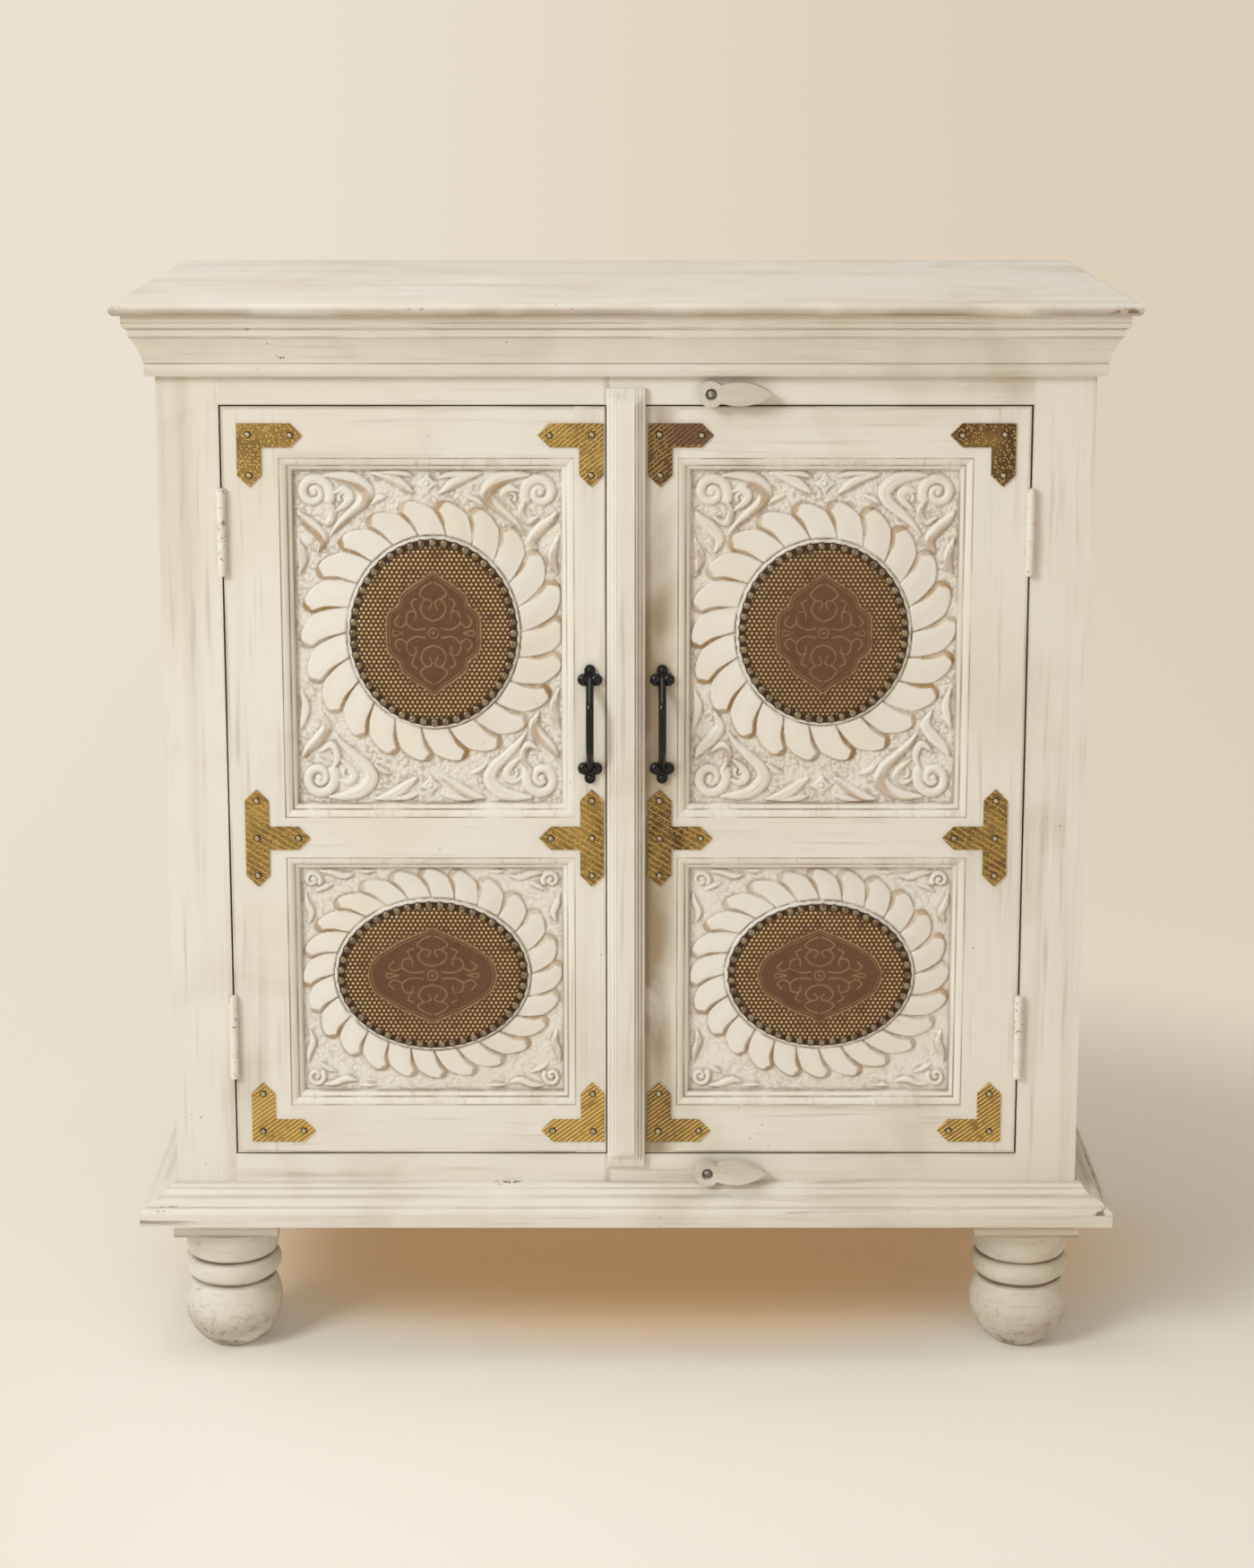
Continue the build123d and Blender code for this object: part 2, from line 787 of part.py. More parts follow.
def corner_bracket():
    """An L bracket whose corner is at the origin, with arms along +X and -Y, and its nail points."""
    half = bracket_width / 2
    across = Pos(0, -half) * pointed_arm(bracket_l_length, bracket_width, bracket_point)
    down = Pos(half, 0) * (Rot(Z=-90) * pointed_arm(bracket_l_height, bracket_width, bracket_point))
    nails = [
        (nail_inset, -nail_inset),
        (bracket_l_length - bracket_point, -half),
        (half, bracket_point - bracket_l_height),
    ]
    return across + down, nails


def tee_bracket():
    """A T bracket whose back is the Y axis and whose arm runs along +X, and its nail points."""
    half = bracket_width / 2
    reach = bracket_t_height / 2
    upright = pointed_arm(reach, bracket_width, bracket_point)
    shape = pointed_arm(bracket_t_length, bracket_width, bracket_point)
    for turn in (90, -90):
        shape += Pos(half, 0) * (Rot(Z=turn) * upright)
    end = reach - bracket_point
    nails = [(half, 0), (half, end), (half, -end), (bracket_t_length - bracket_point, 0)]
    return shape, nails


def door_brackets(bracket_in):
    """The four corner brackets and two tees of a right-hand door, and all their nails."""
    corner, corner_nails = corner_bracket()
    tee, tee_nails = tee_bracket()
    top = door_top - bracket_inset_top
    bottom = door_bottom + bracket_inset_bottom
    edge_out = door_outer - bracket_inset_outer
    nail = stud(nail_head_radius, nail_head_height, nail_shank_radius, nail_shank_length)
    plates = []
    nails = []
    for edge, flip_x in ((bracket_in, 1), (edge_out, -1)):
        rows = (
            (corner, corner_nails, top, 1),
            (tee, tee_nails, tee_height, 1),
            (corner, corner_nails, bottom, -1),
        )
        for shape, points, height, flip_z in rows:
            face = shape if flip_x > 0 else mirror(shape, about=Plane.YZ)
            face = face if flip_z > 0 else mirror(face, about=Plane.XZ)
            facing = Plane(origin=(edge, face_y, height), x_dir=(1, 0, 0), z_dir=(0, -1, 0))
            plate = extrude(facing * face, amount=bracket_thickness, dir=(0, -1, 0))
            plates.append(plate)
            for x, z in points:
                place = Pos(edge + flip_x * x, face_y - bracket_thickness, height + flip_z * z)
                nails.append(place * nail)
    return plates, nails


def handle():
    """A cast pull: a bowed bar between two trefoil plates, and its two screws."""
    plate_front = face_y - handle_plate_thickness
    half = handle_lobe_spacing / 2
    bar_y = face_y - handle_reach
    foot_y = face_y - handle_plate_thickness / 2
    with BuildLine() as path:
        FilletPolyline(
            (handle_offset, foot_y, handle_height - half),
            (handle_offset, bar_y, handle_height - half + handle_reach),
            (handle_offset, bar_y, handle_height + half - handle_reach),
            (handle_offset, foot_y, handle_height + half),
            radius=handle_bend_radius,
        )
    section = Plane(origin=path.line @ 0, z_dir=path.line % 0) * Circle(handle_bar_radius)
    pull = sweep(section, path=path.line)
    screws = []
    for end in (-1, 1):
        lobes_z = handle_height + end * half
        end_z = lobes_z + end * end_lobe_offset
        pull += rod(end_lobe_radius, plate_front, face_y, handle_offset, end_z)
        for side in (-1, 1):
            pull += rod(lobe_radius, plate_front, face_y, handle_offset + side * lobe_offset, lobes_z)
        web = sorted((lobes_z - end * lobe_radius, end_z))
        pull += board(
            (handle_offset - end_lobe_radius, handle_offset + end_lobe_radius),
            (plate_front, face_y),
            web,
        )
        screw = stud(screw_head_radius, screw_head_height, screw_shank_radius, screw_shank_length)
        screws.append(Pos(handle_offset, plate_front, end_z) * screw)
        bore = (plate_front - overshoot, face_y + overshoot)
        pull -= rod(screw_shank_radius, *bore, handle_offset, end_z)
    pull &= board(
        (handle_offset - 2 * lobe_radius - lobe_offset, handle_offset + 2 * lobe_radius + lobe_offset),
        (bar_y - 2 * handle_bar_radius, face_y),
        (handle_height - handle_lobe_spacing, handle_height + handle_lobe_spacing),
    )
    return pull, screws


def closing_strip():
    """The moulded strip on the right door; it laps the rails above and below the doors."""
    flat_half = strip_flat_width / 2

    def moulded(half_length):
        side = [
            (half_length, 0, 0),
            (half_length, strip_edge_thickness, 0),
            (half_length - quirk, strip_edge_thickness, 0),
            (half_length - strip_half + flat_half + quirk, strip_ogee_height, -strip_bulge),
            (half_length - strip_half + flat_half, strip_ogee_height, 0),
            (half_length - strip_half + flat_half, strip_thickness, 0),
        ]
        other = [(-x, y, 0) for x, y, _ in reversed(side)]
        other[3] = (*other[3][:2], -strip_bulge)
        return outline(side + other)

    low = opening_bottom - strip_lap_bottom
    high = opening_top + strip_lap_top
    half_height = (high - low) / 2
    across = Plane(origin=(0, face_y, low), x_dir=(-1, 0, 0), z_dir=(0, 0, 1))
    upright = extrude(across * moulded(strip_half), amount=high - low)
    along = Plane(
        origin=(-strip_half, face_y, (low + high) / 2),
        x_dir=(0, 0, 1),
        z_dir=(1, 0, 0),
    )
    return upright & extrude(along * moulded(half_height), amount=strip_width)


def make_door(name, side, edge_in, bracket_in):
    def place(piece):
        return piece if side > 0 else mirrored(piece)

    def keep(node, *pieces):
        save(f"{name}_{node}", *[place(piece) for piece in pieces])

    for member, piece in door_frame(edge_in).items():
        keep(member, piece)
    mouldings = []
    tacks = []
    for row, open_z in (("upper", upper_open), ("lower", lower_open)):
        oval = medallions[f"{name}_{row}"]
        keep(f"panel_{row}", door_panel(open_z, *oval))
        keep(f"medallion_{row}", medallion(open_z, *oval))
        mouldings += panel_moulding(open_z)
        tacks += medallion_tacks(open_z, *oval)
    keep("panel_mouldings", *mouldings)
    keep("tacks", *tacks)
    plates, nails = door_brackets(bracket_in)
    keep("brackets", *plates)
    keep("bracket_nails", *nails)
    pull, screws = handle()
    keep("handle", pull)
    keep("handle_screws", *screws)
    keep("hinge_leaves", *[hinge_leaf(height, toward_door=True) for height in hinge_heights])


make_top_board()
make_mouldings()
make_face_frame()
make_carcass()
make_feet()
make_frame_hinges()
make_latches()
for door in doors:
    make_door(*door)
save("closing_strip", closing_strip())
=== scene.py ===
import math
from functools import reduce
from operator import or_

import bpy
import numpy as np
from bpy.props import FloatProperty, FloatVectorProperty, IntProperty, PointerProperty
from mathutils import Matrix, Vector


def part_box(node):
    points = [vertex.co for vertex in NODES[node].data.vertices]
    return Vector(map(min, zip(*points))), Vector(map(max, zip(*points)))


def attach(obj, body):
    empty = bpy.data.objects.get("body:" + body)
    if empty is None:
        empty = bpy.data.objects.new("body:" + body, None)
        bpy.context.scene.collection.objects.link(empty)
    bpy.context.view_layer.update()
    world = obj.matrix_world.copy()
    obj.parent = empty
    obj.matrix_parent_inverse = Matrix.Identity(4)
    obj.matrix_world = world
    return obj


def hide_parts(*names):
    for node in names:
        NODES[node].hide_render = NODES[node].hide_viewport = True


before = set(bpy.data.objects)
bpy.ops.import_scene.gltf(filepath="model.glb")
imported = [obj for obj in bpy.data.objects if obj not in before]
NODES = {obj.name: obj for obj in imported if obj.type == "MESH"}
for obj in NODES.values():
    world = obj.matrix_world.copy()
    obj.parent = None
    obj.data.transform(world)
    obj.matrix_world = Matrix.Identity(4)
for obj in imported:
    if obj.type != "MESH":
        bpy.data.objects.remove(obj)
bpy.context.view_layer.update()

bl_info = {
    "name": "Carved cabinet",
    "version": (1, 0, 0),
    "blender": (4, 5, 0),
    "location": "View3D > Sidebar > Cabinet",
    "description": "Models and finishes the visible pieces of a carved, whitewashed cabinet",
    "category": "Object",
}

SIDES = ("left", "right")
ROWS = ("upper", "lower")
MM = 0.001
TURN = 2 * math.pi
SEEN_RAYS = ("Is Camera Ray", "Is Glossy Ray", "Is Transmission Ray")


def extent(node):
    """The low corner, high corner, middle and half size of a CAD node's box."""
    low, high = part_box(node)
    return low, high, (low + high) / 2, (high - low) / 2


# ---------- sizes and colours that a user may change ----------

def shade(red, green, blue):
    """A linear colour from the three numbers of a colour picker."""
    parts = []
    for value in (red, green, blue):
        value /= 255
        parts.append(value / 12.92 if value <= 0.04045 else ((value + 0.055) / 1.055) ** 2.4)
    return tuple(parts)


def colour(name, description, *rgb):
    return FloatVectorProperty(
        name=name,
        description=description,
        subtype="COLOR",
        size=3,
        min=0.0,
        max=1.0,
        default=shade(*rgb),
    )


def length(name, description, default):
    return FloatProperty(name=name, description=description, default=default, min=0.0, unit="LENGTH")


class CabinetSizes(bpy.types.PropertyGroup):
    """Sizes of the carving and the metalwork."""

    petals: IntProperty(
        name="Petals",
        description="Carved petals round each upper medallion",
        default=22,
        min=8,
        max=40,
    )
    petal_rise: length("Petal rise", "Height of a petal's outer edge above the ground of the panel", 0.0034)
    leaf_rise: length("Leaf rise", "Height of the corner leaves above the ground of the panel", 0.0030)
    carving_step: length("Carving step", "Distance between two points of the carved surface", 0.00095)
    dot_pitch: length("Dot pitch", "Distance between two beaten dots of a medallion", 0.0043)
    beating: length("Beating", "Height of the beaten dots of a medallion", 0.00055)
    tack_pitch: length("Tack pitch", "Distance between two tacks round a medallion", 0.0101)


class CabinetColours(bpy.types.PropertyGroup):
    """Colours of the finishes."""

    paint: colour("Paint", "Fresh whitewash", 226, 221, 211)
    paint_warm: colour("Warm paint", "Whitewash that has yellowed", 216, 206, 186)
    paint_thin: colour("Thin paint", "Whitewash with the wood showing through", 186, 174, 152)
    grime: colour("Grime", "Dirt in grooves and corners", 140, 119, 90)
    wash: colour("Brown wash", "Stain rubbed into the carving", 158, 126, 78)
    bare: colour("Bare wood", "Wood where the paint has rubbed off", 112, 84, 58)
    gold: colour("Gold", "Struck high spots of the brackets", 226, 186, 100)
    brass: colour("Brass", "Polished high spots of the medallions", 228, 194, 142)
    brass_dark: colour("Dark brass", "Tarnished ground of the brass", 80, 57, 33)
    copper: colour("Copper brown", "Brown patina in the middle of the medallions", 94, 66, 48)
    bronze: colour("Bronze", "Heads of the tacks and nails", 186, 172, 140)
    iron: colour("Iron", "Black enamel of the pulls, and the darkest rims of the brass", 9, 9, 9)
    # painted shade: the warm tone the paper takes where the cabinet's shadow falls
    painted_shade_tint: colour("Shaded paper", "Warm tint of the paper under the cabinet", 252, 209, 154)
    backdrop: colour("Backdrop", "Paper round the cabinet", 243, 238, 228)
    distance: colour("Distance", "Paper far from the cabinet, on the side of the key lamp", 234, 225, 208)
    distance_dim: colour("Dim distance", "Paper far from the cabinet, on the other side", 221, 206, 184)


# ---------- shader arithmetic ----------

class Signal:
    """A shader socket that takes plain arithmetic."""

    def __init__(self, finish, socket):
        self.finish = finish
        self.socket = socket

    def __add__(self, other):
        return self.finish.math("ADD", self, other)

    def __radd__(self, other):
        return self.finish.math("ADD", other, self)

    def __sub__(self, other):
        return self.finish.math("SUBTRACT", self, other)

    def __rsub__(self, other):
        return self.finish.math("SUBTRACT", other, self)

    def __mul__(self, other):
        return self.finish.math("MULTIPLY", self, other)

    def __rmul__(self, other):
        return self.finish.math("MULTIPLY", other, self)

    def __abs__(self):
        return self.finish.math("ABSOLUTE", self)

    def __or__(self, other):
        return self.finish.math("MAXIMUM", self, other)

    def __and__(self, other):
        return self.finish.math("MINIMUM", self, other)


class Finish:
    """A procedural material under construction."""

    def __init__(self, name):
        self.material = bpy.data.materials.new(name)
        self.material.use_nodes = True
        self.tree = self.material.node_tree
        self.tree.nodes.clear()
        self.colours = bpy.context.scene.cabinet_colours
        self.place = self.node("TexCoord", output="Object")
        self.x, self.y, self.z = [
            self.node("SeparateXYZ", inputs={0: self.place}, output=axis) for axis in range(3)
        ]

    def node(self, kind, settings=None, inputs=None, output=0):
        """Adds a node: its settings are set first, then the values or links of its sockets."""
        node = self.tree.nodes.new("ShaderNode" + kind)
        for key, value in (settings or {}).items():
            setattr(node, key, value)
        for key, value in (inputs or {}).items():
            if isinstance(value, Signal):
                self.tree.links.new(value.socket, node.inputs[key])
            else:
                node.inputs[key].default_value = value
        return Signal(self, node.outputs[output]) if len(node.outputs) else node

    def math(self, operation, *values):
        return self.node("Math", {"operation": operation}, dict(enumerate(values)))

    def attribute(self, name):
        return self.node("Attribute", {"attribute_name": name}, output="Fac")

    def noise(self, scale, detail=2.0, distortion=0.0, roughness=0.5, where=None):
        inputs = {
            "Vector": where or self.place,
            "Scale": scale,
            "Detail": detail,
            "Roughness": roughness,
            "Distortion": distortion,
        }
        return self.node("TexNoise", None, inputs)

    def grained(self, grain, across, along, detail, distortion, roughness=0.5):
        """Noise drawn out along one axis: its scale across the grain and its scale along it."""
        scales = [along if axis == grain else across for axis in "xyz"]
        drawn_out = self.node("VectorMath", {"operation": "MULTIPLY"}, {0: self.place, 1: scales})
        return self.noise(1.0, detail, distortion, roughness, drawn_out)

    def cells(self, scale, feature="F1"):
        """Distance from the middle of the nearest cell."""
        inputs = {"Vector": self.place, "Scale": scale}
        return self.node("TexVoronoi", {"feature": feature}, inputs, "Distance")

    def rise(self, value, low, high):
        """0 below low and 1 above high, or the other way round where low is the larger."""
        inputs = {"Value": value, "From Min": low, "From Max": high}
        return self.node("MapRange", {"interpolation_type": "SMOOTHSTEP"}, inputs)

    def blend(self, share, first, second):
        """The first colour where the share is 0 and the second where it is 1."""
        tones = [(*tone, 1.0) if not isinstance(tone, Signal) else tone for tone in (first, second)]
        return self.node("Mix", {"data_type": "RGBA"}, {0: share, 6: tones[0], 7: tones[1]}, 2)

    def bump(self, height, distance, strength):
        return self.node("Bump", None, {"Height": height, "Distance": distance, "Strength": strength})

    def sight(self):
        """1 for what is seen directly, in reflections or through glass, and 0 for the light it gives."""
        return strongest(self.node("LightPath", output=ray) for ray in SEEN_RAYS)

    def principled(self, **inputs):
        """A Principled shader; its sockets are named with underscores."""
        named = {key.replace("_", " "): value for key, value in inputs.items()}
        for key in ("Base Color", "Emission Color"):
            if key in named and not isinstance(named[key], Signal):
                named[key] = (*named[key], 1.0)
        return self.node("BsdfPrincipled", None, named)

    def close(self, shader):
        """Ends the material with its surface."""
        self.node("OutputMaterial", None, {"Surface": shader})
        return self.material

    def surface(self, **inputs):
        """Ends the material with one Principled shader."""
        return self.close(self.principled(**inputs))


def strongest(masks):
    """The largest of several masks at every point."""
    return reduce(or_, masks)


def near(value, place, reach):
    """1 at a place along an axis and 0 further from it than the reach."""
    return value.finish.rise(abs(value - place), reach, reach * 0.25)


# ---------- places of dirt and wear, in metres ----------

# marks: (x, z, half width, half height)
FRAME_SCRATCHES = (
    (0.378, 0.316, 0.021, 0.0011),
    (0.283, 0.203, 0.010, 0.0012),
    (-0.236, 0.201, 0.002, 0.006),
)
TOP_CHIPS = ((-0.1825, 0.987, 0.017, 0.005), (0.435, 0.986, 0.018, 0.006), (-0.443, 0.986, 0.010, 0.005))
CROWN_CHIPS = ((-0.331, 0.967, 0.004, 0.002), (-0.303, 0.940, 0.007, 0.002))
BASE_CHIPS = ((-0.422, 0.156, 0.022, 0.004), (0.436, 0.154, 0.012, 0.006), (-0.110, 0.1722, 0.024, 0.002))
# grooves of the crown and the base, above their lower edges
CROWN_GROOVES = (0.0115, 0.036, 0.0435, 0.049)
BASE_GROOVES = (0.0175, 0.024, 0.029, 0.033)
BASE_SIDE_GROOVES = BASE_GROOVES[:3]
GROOVE_REACH = 0.0012
# steps of the mouldings round a panel: (distance inside their outer edge, reach)
MOULDING_STEPS = ((0.0003, 0.0014), (0.0073, 0.0011), (0.0120, 0.0016))
# turned grooves of the feet: (height, reach)
FOOT_GROOVES = ((0.0655, 0.004), (0.0895, 0.0035), (0.119, 0.003))
# quirks of the closing strip: (distance from its middle, reach)
STRIP_QUIRKS = ((0.0082, 0.0008), (0.0108, 0.0009), (0.0141, 0.0009))
# how far a panel's tongue goes into the door's frame
TONGUE = 0.007


def marks(finish, places):
    """Ragged marks at the given places."""
    squares = [
        finish.rise(abs(finish.x - x) * (1 / half_width) | abs(finish.z - z) * (1 / half_height), 1.1, 0.3)
        for x, z, half_width, half_height in places
    ]
    return strongest(squares) * finish.rise(finish.noise(150.0, 4.0, 0.6), 0.40, 0.56)


def outer_edge(finish, node, sides, front):
    """The outer edge of a board; sides and front say how far in the mask starts and where it is full."""
    low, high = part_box(node)
    beside = finish.rise(abs(finish.x), high.x - sides[0], high.x - sides[1])
    return beside | finish.rise(finish.y, low.y + front[0], low.y + front[1])


def beside_strip(finish):
    """The front of the right door next to the closing strip, where the strip's shade is painted."""
    low, _, middle, half = extent("right_stile_inner")
    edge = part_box("closing_strip")[1].x
    across = finish.rise(finish.x, edge + 0.036, edge + 0.010) * finish.rise(finish.x, 0.0, edge)
    front = finish.rise(finish.y, low.y + 0.004, low.y + 0.001)
    return across * front * finish.rise(abs(finish.z - middle.z), half.z + 0.001, half.z - 0.001)


def strip_shade_and_yellowing(finish):
    """Painted shade of the closing strip on the right door beside it, and yellowing of the paint there."""
    return beside_strip(finish) * 0.75


def door_dirt_and_strip_shade(finish):
    """Dirt along the gap round both doors and where they meet, and beside the closing strip dirt together
    with the strip's painted shade.
    """
    low, _, middle, half = extent("left_stile_outer")
    outline = near((abs(finish.x) + low.x) | (abs(finish.z - middle.z) - half.z), 0.0, 0.0035)
    meeting = near(finish.x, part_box("closing_strip")[0].x, 0.004)
    return (outline | meeting) * 0.45 | beside_strip(finish) * 0.9


def corner_wear(finish):
    """Rubbing along the carcass's upright corners and its bottom rail, and a few scratches."""
    corner = near(abs(finish.x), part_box("face_stile_right")[1].x, 0.004)
    rail = near(finish.z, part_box("face_rail_bottom")[0].z + 0.002, 0.002)
    return corner * 0.34 | marks(finish, FRAME_SCRATCHES) * 0.50 | rail * 0.3


def groove_grime(node, heights, share):
    """Dirt in the grooves of a moulding."""
    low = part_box(node)[0].z
    return lambda finish: strongest(near(finish.z, low + height, GROOVE_REACH) for height in heights) * share


def moulding_grime(side):
    """Dirt in the steps of the mouldings round both panels of a door."""
    def steps(finish):
        inside = []
        for row in ROWS:
            _, _, middle, half = extent(f"{side}_panel_{row}")
            across = half.x - TONGUE - abs(finish.x - middle.x)
            upright = half.z - TONGUE - abs(finish.z - middle.z)
            inside.append(across & upright)
        depth = strongest(inside)
        return strongest(near(depth, place, reach) for place, reach in MOULDING_STEPS) * 0.75

    return steps


def top_edge(finish):
    """The rounded edge of the top board."""
    return outer_edge(finish, "top_board", (0.008, 0.002), (0.007, 0.002))


def top_wear_and_underside_shade(finish):
    """Rubbing and chips along the edge of the top board, and painted shade along its underside in the tone of
    bare wood.
    """
    # painted shade under the edge of the top board
    under = finish.rise(finish.z, 0.985, 0.980)
    return top_edge(finish) * (under * 0.14 + marks(finish, TOP_CHIPS) * 0.22 + 0.28)


def top_edge_dirt_and_shade(finish):
    """Dirt along the edge of the top board, and painted shade on the lower half of its rounded edge, which
    faces down.
    """
    return top_edge(finish) * (finish.rise(finish.z, 0.989, 0.981) * 0.45 + 0.20)


def crown_wear(finish):
    """Two chips in the crown and light rubbing along it."""
    return marks(finish, CROWN_CHIPS) * 0.3 + 0.26


def base_wear(finish):
    """Rubbing and chips along the widest edge of the base."""
    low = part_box("base_front")[0].z
    edge = outer_edge(finish, "base_front", (0.010, 0.001), (0.008, 0.001))
    return edge * finish.rise(finish.z, low + 0.022, low + 0.016) * 0.38 | marks(finish, BASE_CHIPS) * 0.55


def foot_specks(finish):
    """Small knocks low on the balls."""
    return finish.rise(finish.noise(170.0, 4.0, 0.6), 0.52, 0.62) * finish.rise(finish.z, 0.060, 0.010)


def foot_grime(finish):
    """Dirt low on the balls, in the turned grooves and on the drums above them."""
    low = finish.rise(finish.z, 0.052, 0.004) * 0.70
    grooves = strongest(near(finish.z, height, reach) for height, reach in FOOT_GROOVES)
    drums = finish.rise(finish.z, 0.124, 0.130) * finish.rise(finish.z, 0.1385, 0.1375)
    return low | grooves * 0.80 | drums * 0.80 | foot_specks(finish)


def foot_wear(finish):
    """Light rubbing all over the feet, and scuffs low on the balls."""
    return finish.rise(finish.z, 0.045, 0.002) * 0.10 + foot_specks(finish) * 0.08 + 0.31


def strip_age(finish):
    """Yellowing along the middle of the closing strip."""
    return near(finish.x, 0.0, 0.010) * 0.14


def strip_dirt_and_flank_shade(finish):
    """Dirt in the quirks of the closing strip, and painted shade down its right flank, which faces away from
    the key lamp.
    """
    across = abs(finish.x)
    quirks = strongest(near(across, place, reach) for place, reach in STRIP_QUIRKS)
    # painted shade: the right flank is darker, in its quirks and all over
    right = finish.rise(finish.x, 0.0, 0.004)
    return quirks * (right * 0.50 + 0.15) | right * finish.rise(across, 0.0080, 0.0086) * 0.12


# ---------- finishes ----------

def whitewash(name, grain, grime, wear, age):
    """Old whitewash brushed along the grain.

    Grime, wear and age are each one share or a function that gives a mask of the places; on some boards these
    masks also carry painted shade.
    """
    finish = Finish(name)
    tones = finish.colours
    grime, wear, age = [part(finish) if callable(part) else part for part in (grime, wear, age)]
    patches = finish.rise(finish.noise(3.4, 3.0, 0.4), 0.42, 0.70)
    streaks = finish.rise(finish.grained(grain, 42.0, 1.6, 3.0, 0.3), 0.48, 0.80)
    lines = finish.grained(grain, 210.0, 8.0, 2.0, 0.2)
    smudge = finish.rise(finish.noise(6.5, 4.0, 0.9), 0.50, 0.74)
    specks = finish.rise(finish.cells(95.0), 0.10, 0.03) * finish.rise(finish.noise(11.0), 0.58, 0.66)
    cloudy = finish.rise(finish.noise(14.0, 4.0, 0.8), 0.25, 0.72)
    patchy = finish.rise(finish.grained(grain, 26.0, 9.0, 4.0, 0.4), 0.28, 0.62)
    ragged = finish.grained(grain, 58.8, 2.24, 5.0, 0.5, 0.62)
    rubbed = finish.rise(ragged + wear, 0.98, 1.10)
    tone = finish.blend(patches * 0.55, tones.paint, tones.paint_warm)
    tone = finish.blend(streaks * 0.46 + smudge * 0.30 + smudge * streaks * 0.45, tone, tones.paint_thin)
    tone = finish.blend(finish.rise(lines, 0.54, 0.82) * 0.30, tone, tones.grime)
    tone = finish.blend((cloudy * 0.7 + 0.3) * age, tone, tones.paint_thin)
    tone = finish.blend(patchy * grime, tone, tones.grime)
    tone = finish.blend(rubbed * 0.85, tone, tones.bare)
    tone = finish.blend(specks * 0.75, tone, tones.bare)
    height = lines * 0.5 + streaks * 0.4 - rubbed * 1.2 - specks * 1.5
    return finish.surface(
        Base_Color=tone,
        Roughness=0.62 + rubbed * 0.2 - streaks * 0.08,
        Normal=finish.bump(height, 0.0004, 0.8),
    )


def carved_paint(name):
    """Whitewash over carving: brown in the cuts, worn on the ridges, a pebbled ground."""
    finish = Finish(name)
    tones = finish.colours
    wash, cavity, ground = [finish.attribute(mask) for mask in ("wash", "cavity", "ground")]
    patches = finish.rise(finish.noise(9.0, 3.0, 0.5), 0.40, 0.72)
    cloud = finish.noise(52.0, 4.0, 0.8)
    pits = finish.rise(finish.cells(300.0), 0.46, 0.70) * ground
    cut = cavity * finish.rise(cloud, 0.30, 0.60)
    stain = wash * (finish.rise(cloud, 0.38, 0.56) * 0.35 + 0.65)
    rubbed = finish.rise(finish.noise(30.0, 5.0, 1.0, 0.65), 0.66, 0.72)
    tone = finish.blend(patches * 0.40, tones.paint, tones.paint_warm)
    tone = finish.blend(pits * finish.rise(cloud, 0.35, 0.60) * 0.45, tone, tones.grime)
    tone = finish.blend(cut * (0.72 - ground * 0.30), tone, tones.grime)
    tone = finish.blend(stain, tone, tones.wash)
    tone = finish.blend(rubbed * 0.28, tone, tones.wash)
    pebbles = (0.6 - finish.cells(300.0, "SMOOTH_F1")) * ground
    height = finish.noise(420.0) * 0.35 + cloud * 0.5 + pebbles * 3.2
    return finish.surface(
        Base_Color=tone,
        Roughness=0.66 - cut * 0.06,
        Normal=finish.bump(height, 0.0005, 0.9),
    )


def inner_wood(name):
    """Bare boards under one thin coat."""
    finish = Finish(name)
    tones = finish.colours
    rings = finish.grained("x", 60.0, 2.2, 4.0, 0.8)
    tone = finish.blend(finish.rise(rings, 0.30, 0.80) * 0.8, tones.paint_warm, tones.paint_thin)
    tone = finish.blend(finish.rise(rings, 0.58, 0.86) * 0.30, tone, tones.wash)
    return finish.surface(Base_Color=tone, Roughness=0.72, Normal=finish.bump(rings, 0.0004, 0.6))


def medallion_brass(name):
    """Beaten brass: bright dots on a tarnished ground, copper brown in the middle, dark at the rim."""
    finish = Finish(name)
    tones = finish.colours
    relief, middle, rim = [finish.attribute(mask) for mask in ("relief", "middle", "rim")]
    cloud = finish.noise(24.0, 4.0, 0.6)
    ground = finish.blend(finish.rise(cloud, 0.42, 0.72) * 0.35, tones.brass_dark, tones.copper)
    ground = finish.blend(middle * 0.80, ground, tones.copper)
    ground = finish.blend(rim * 0.45, ground, tones.iron)
    bright = finish.blend(middle * 0.72, tones.brass, tones.copper)
    stipple = finish.rise(finish.cells(520.0), 0.30, 0.14) * middle * 0.55
    dull = finish.rise(finish.x, -0.20, 0.20) * finish.rise(finish.z, 0.55, 0.60) * 0.18
    polish = (relief | stipple) * finish.rise(finish.noise(90.0, 3.0), 0.15, 0.50) * (1.0 - dull)
    return finish.surface(
        Base_Color=finish.blend(polish, ground, bright),
        Metallic=0.60,
        Roughness=0.50 - polish * 0.16,
        Normal=finish.bump(finish.noise(700.0), 0.0001, 0.5),
    )


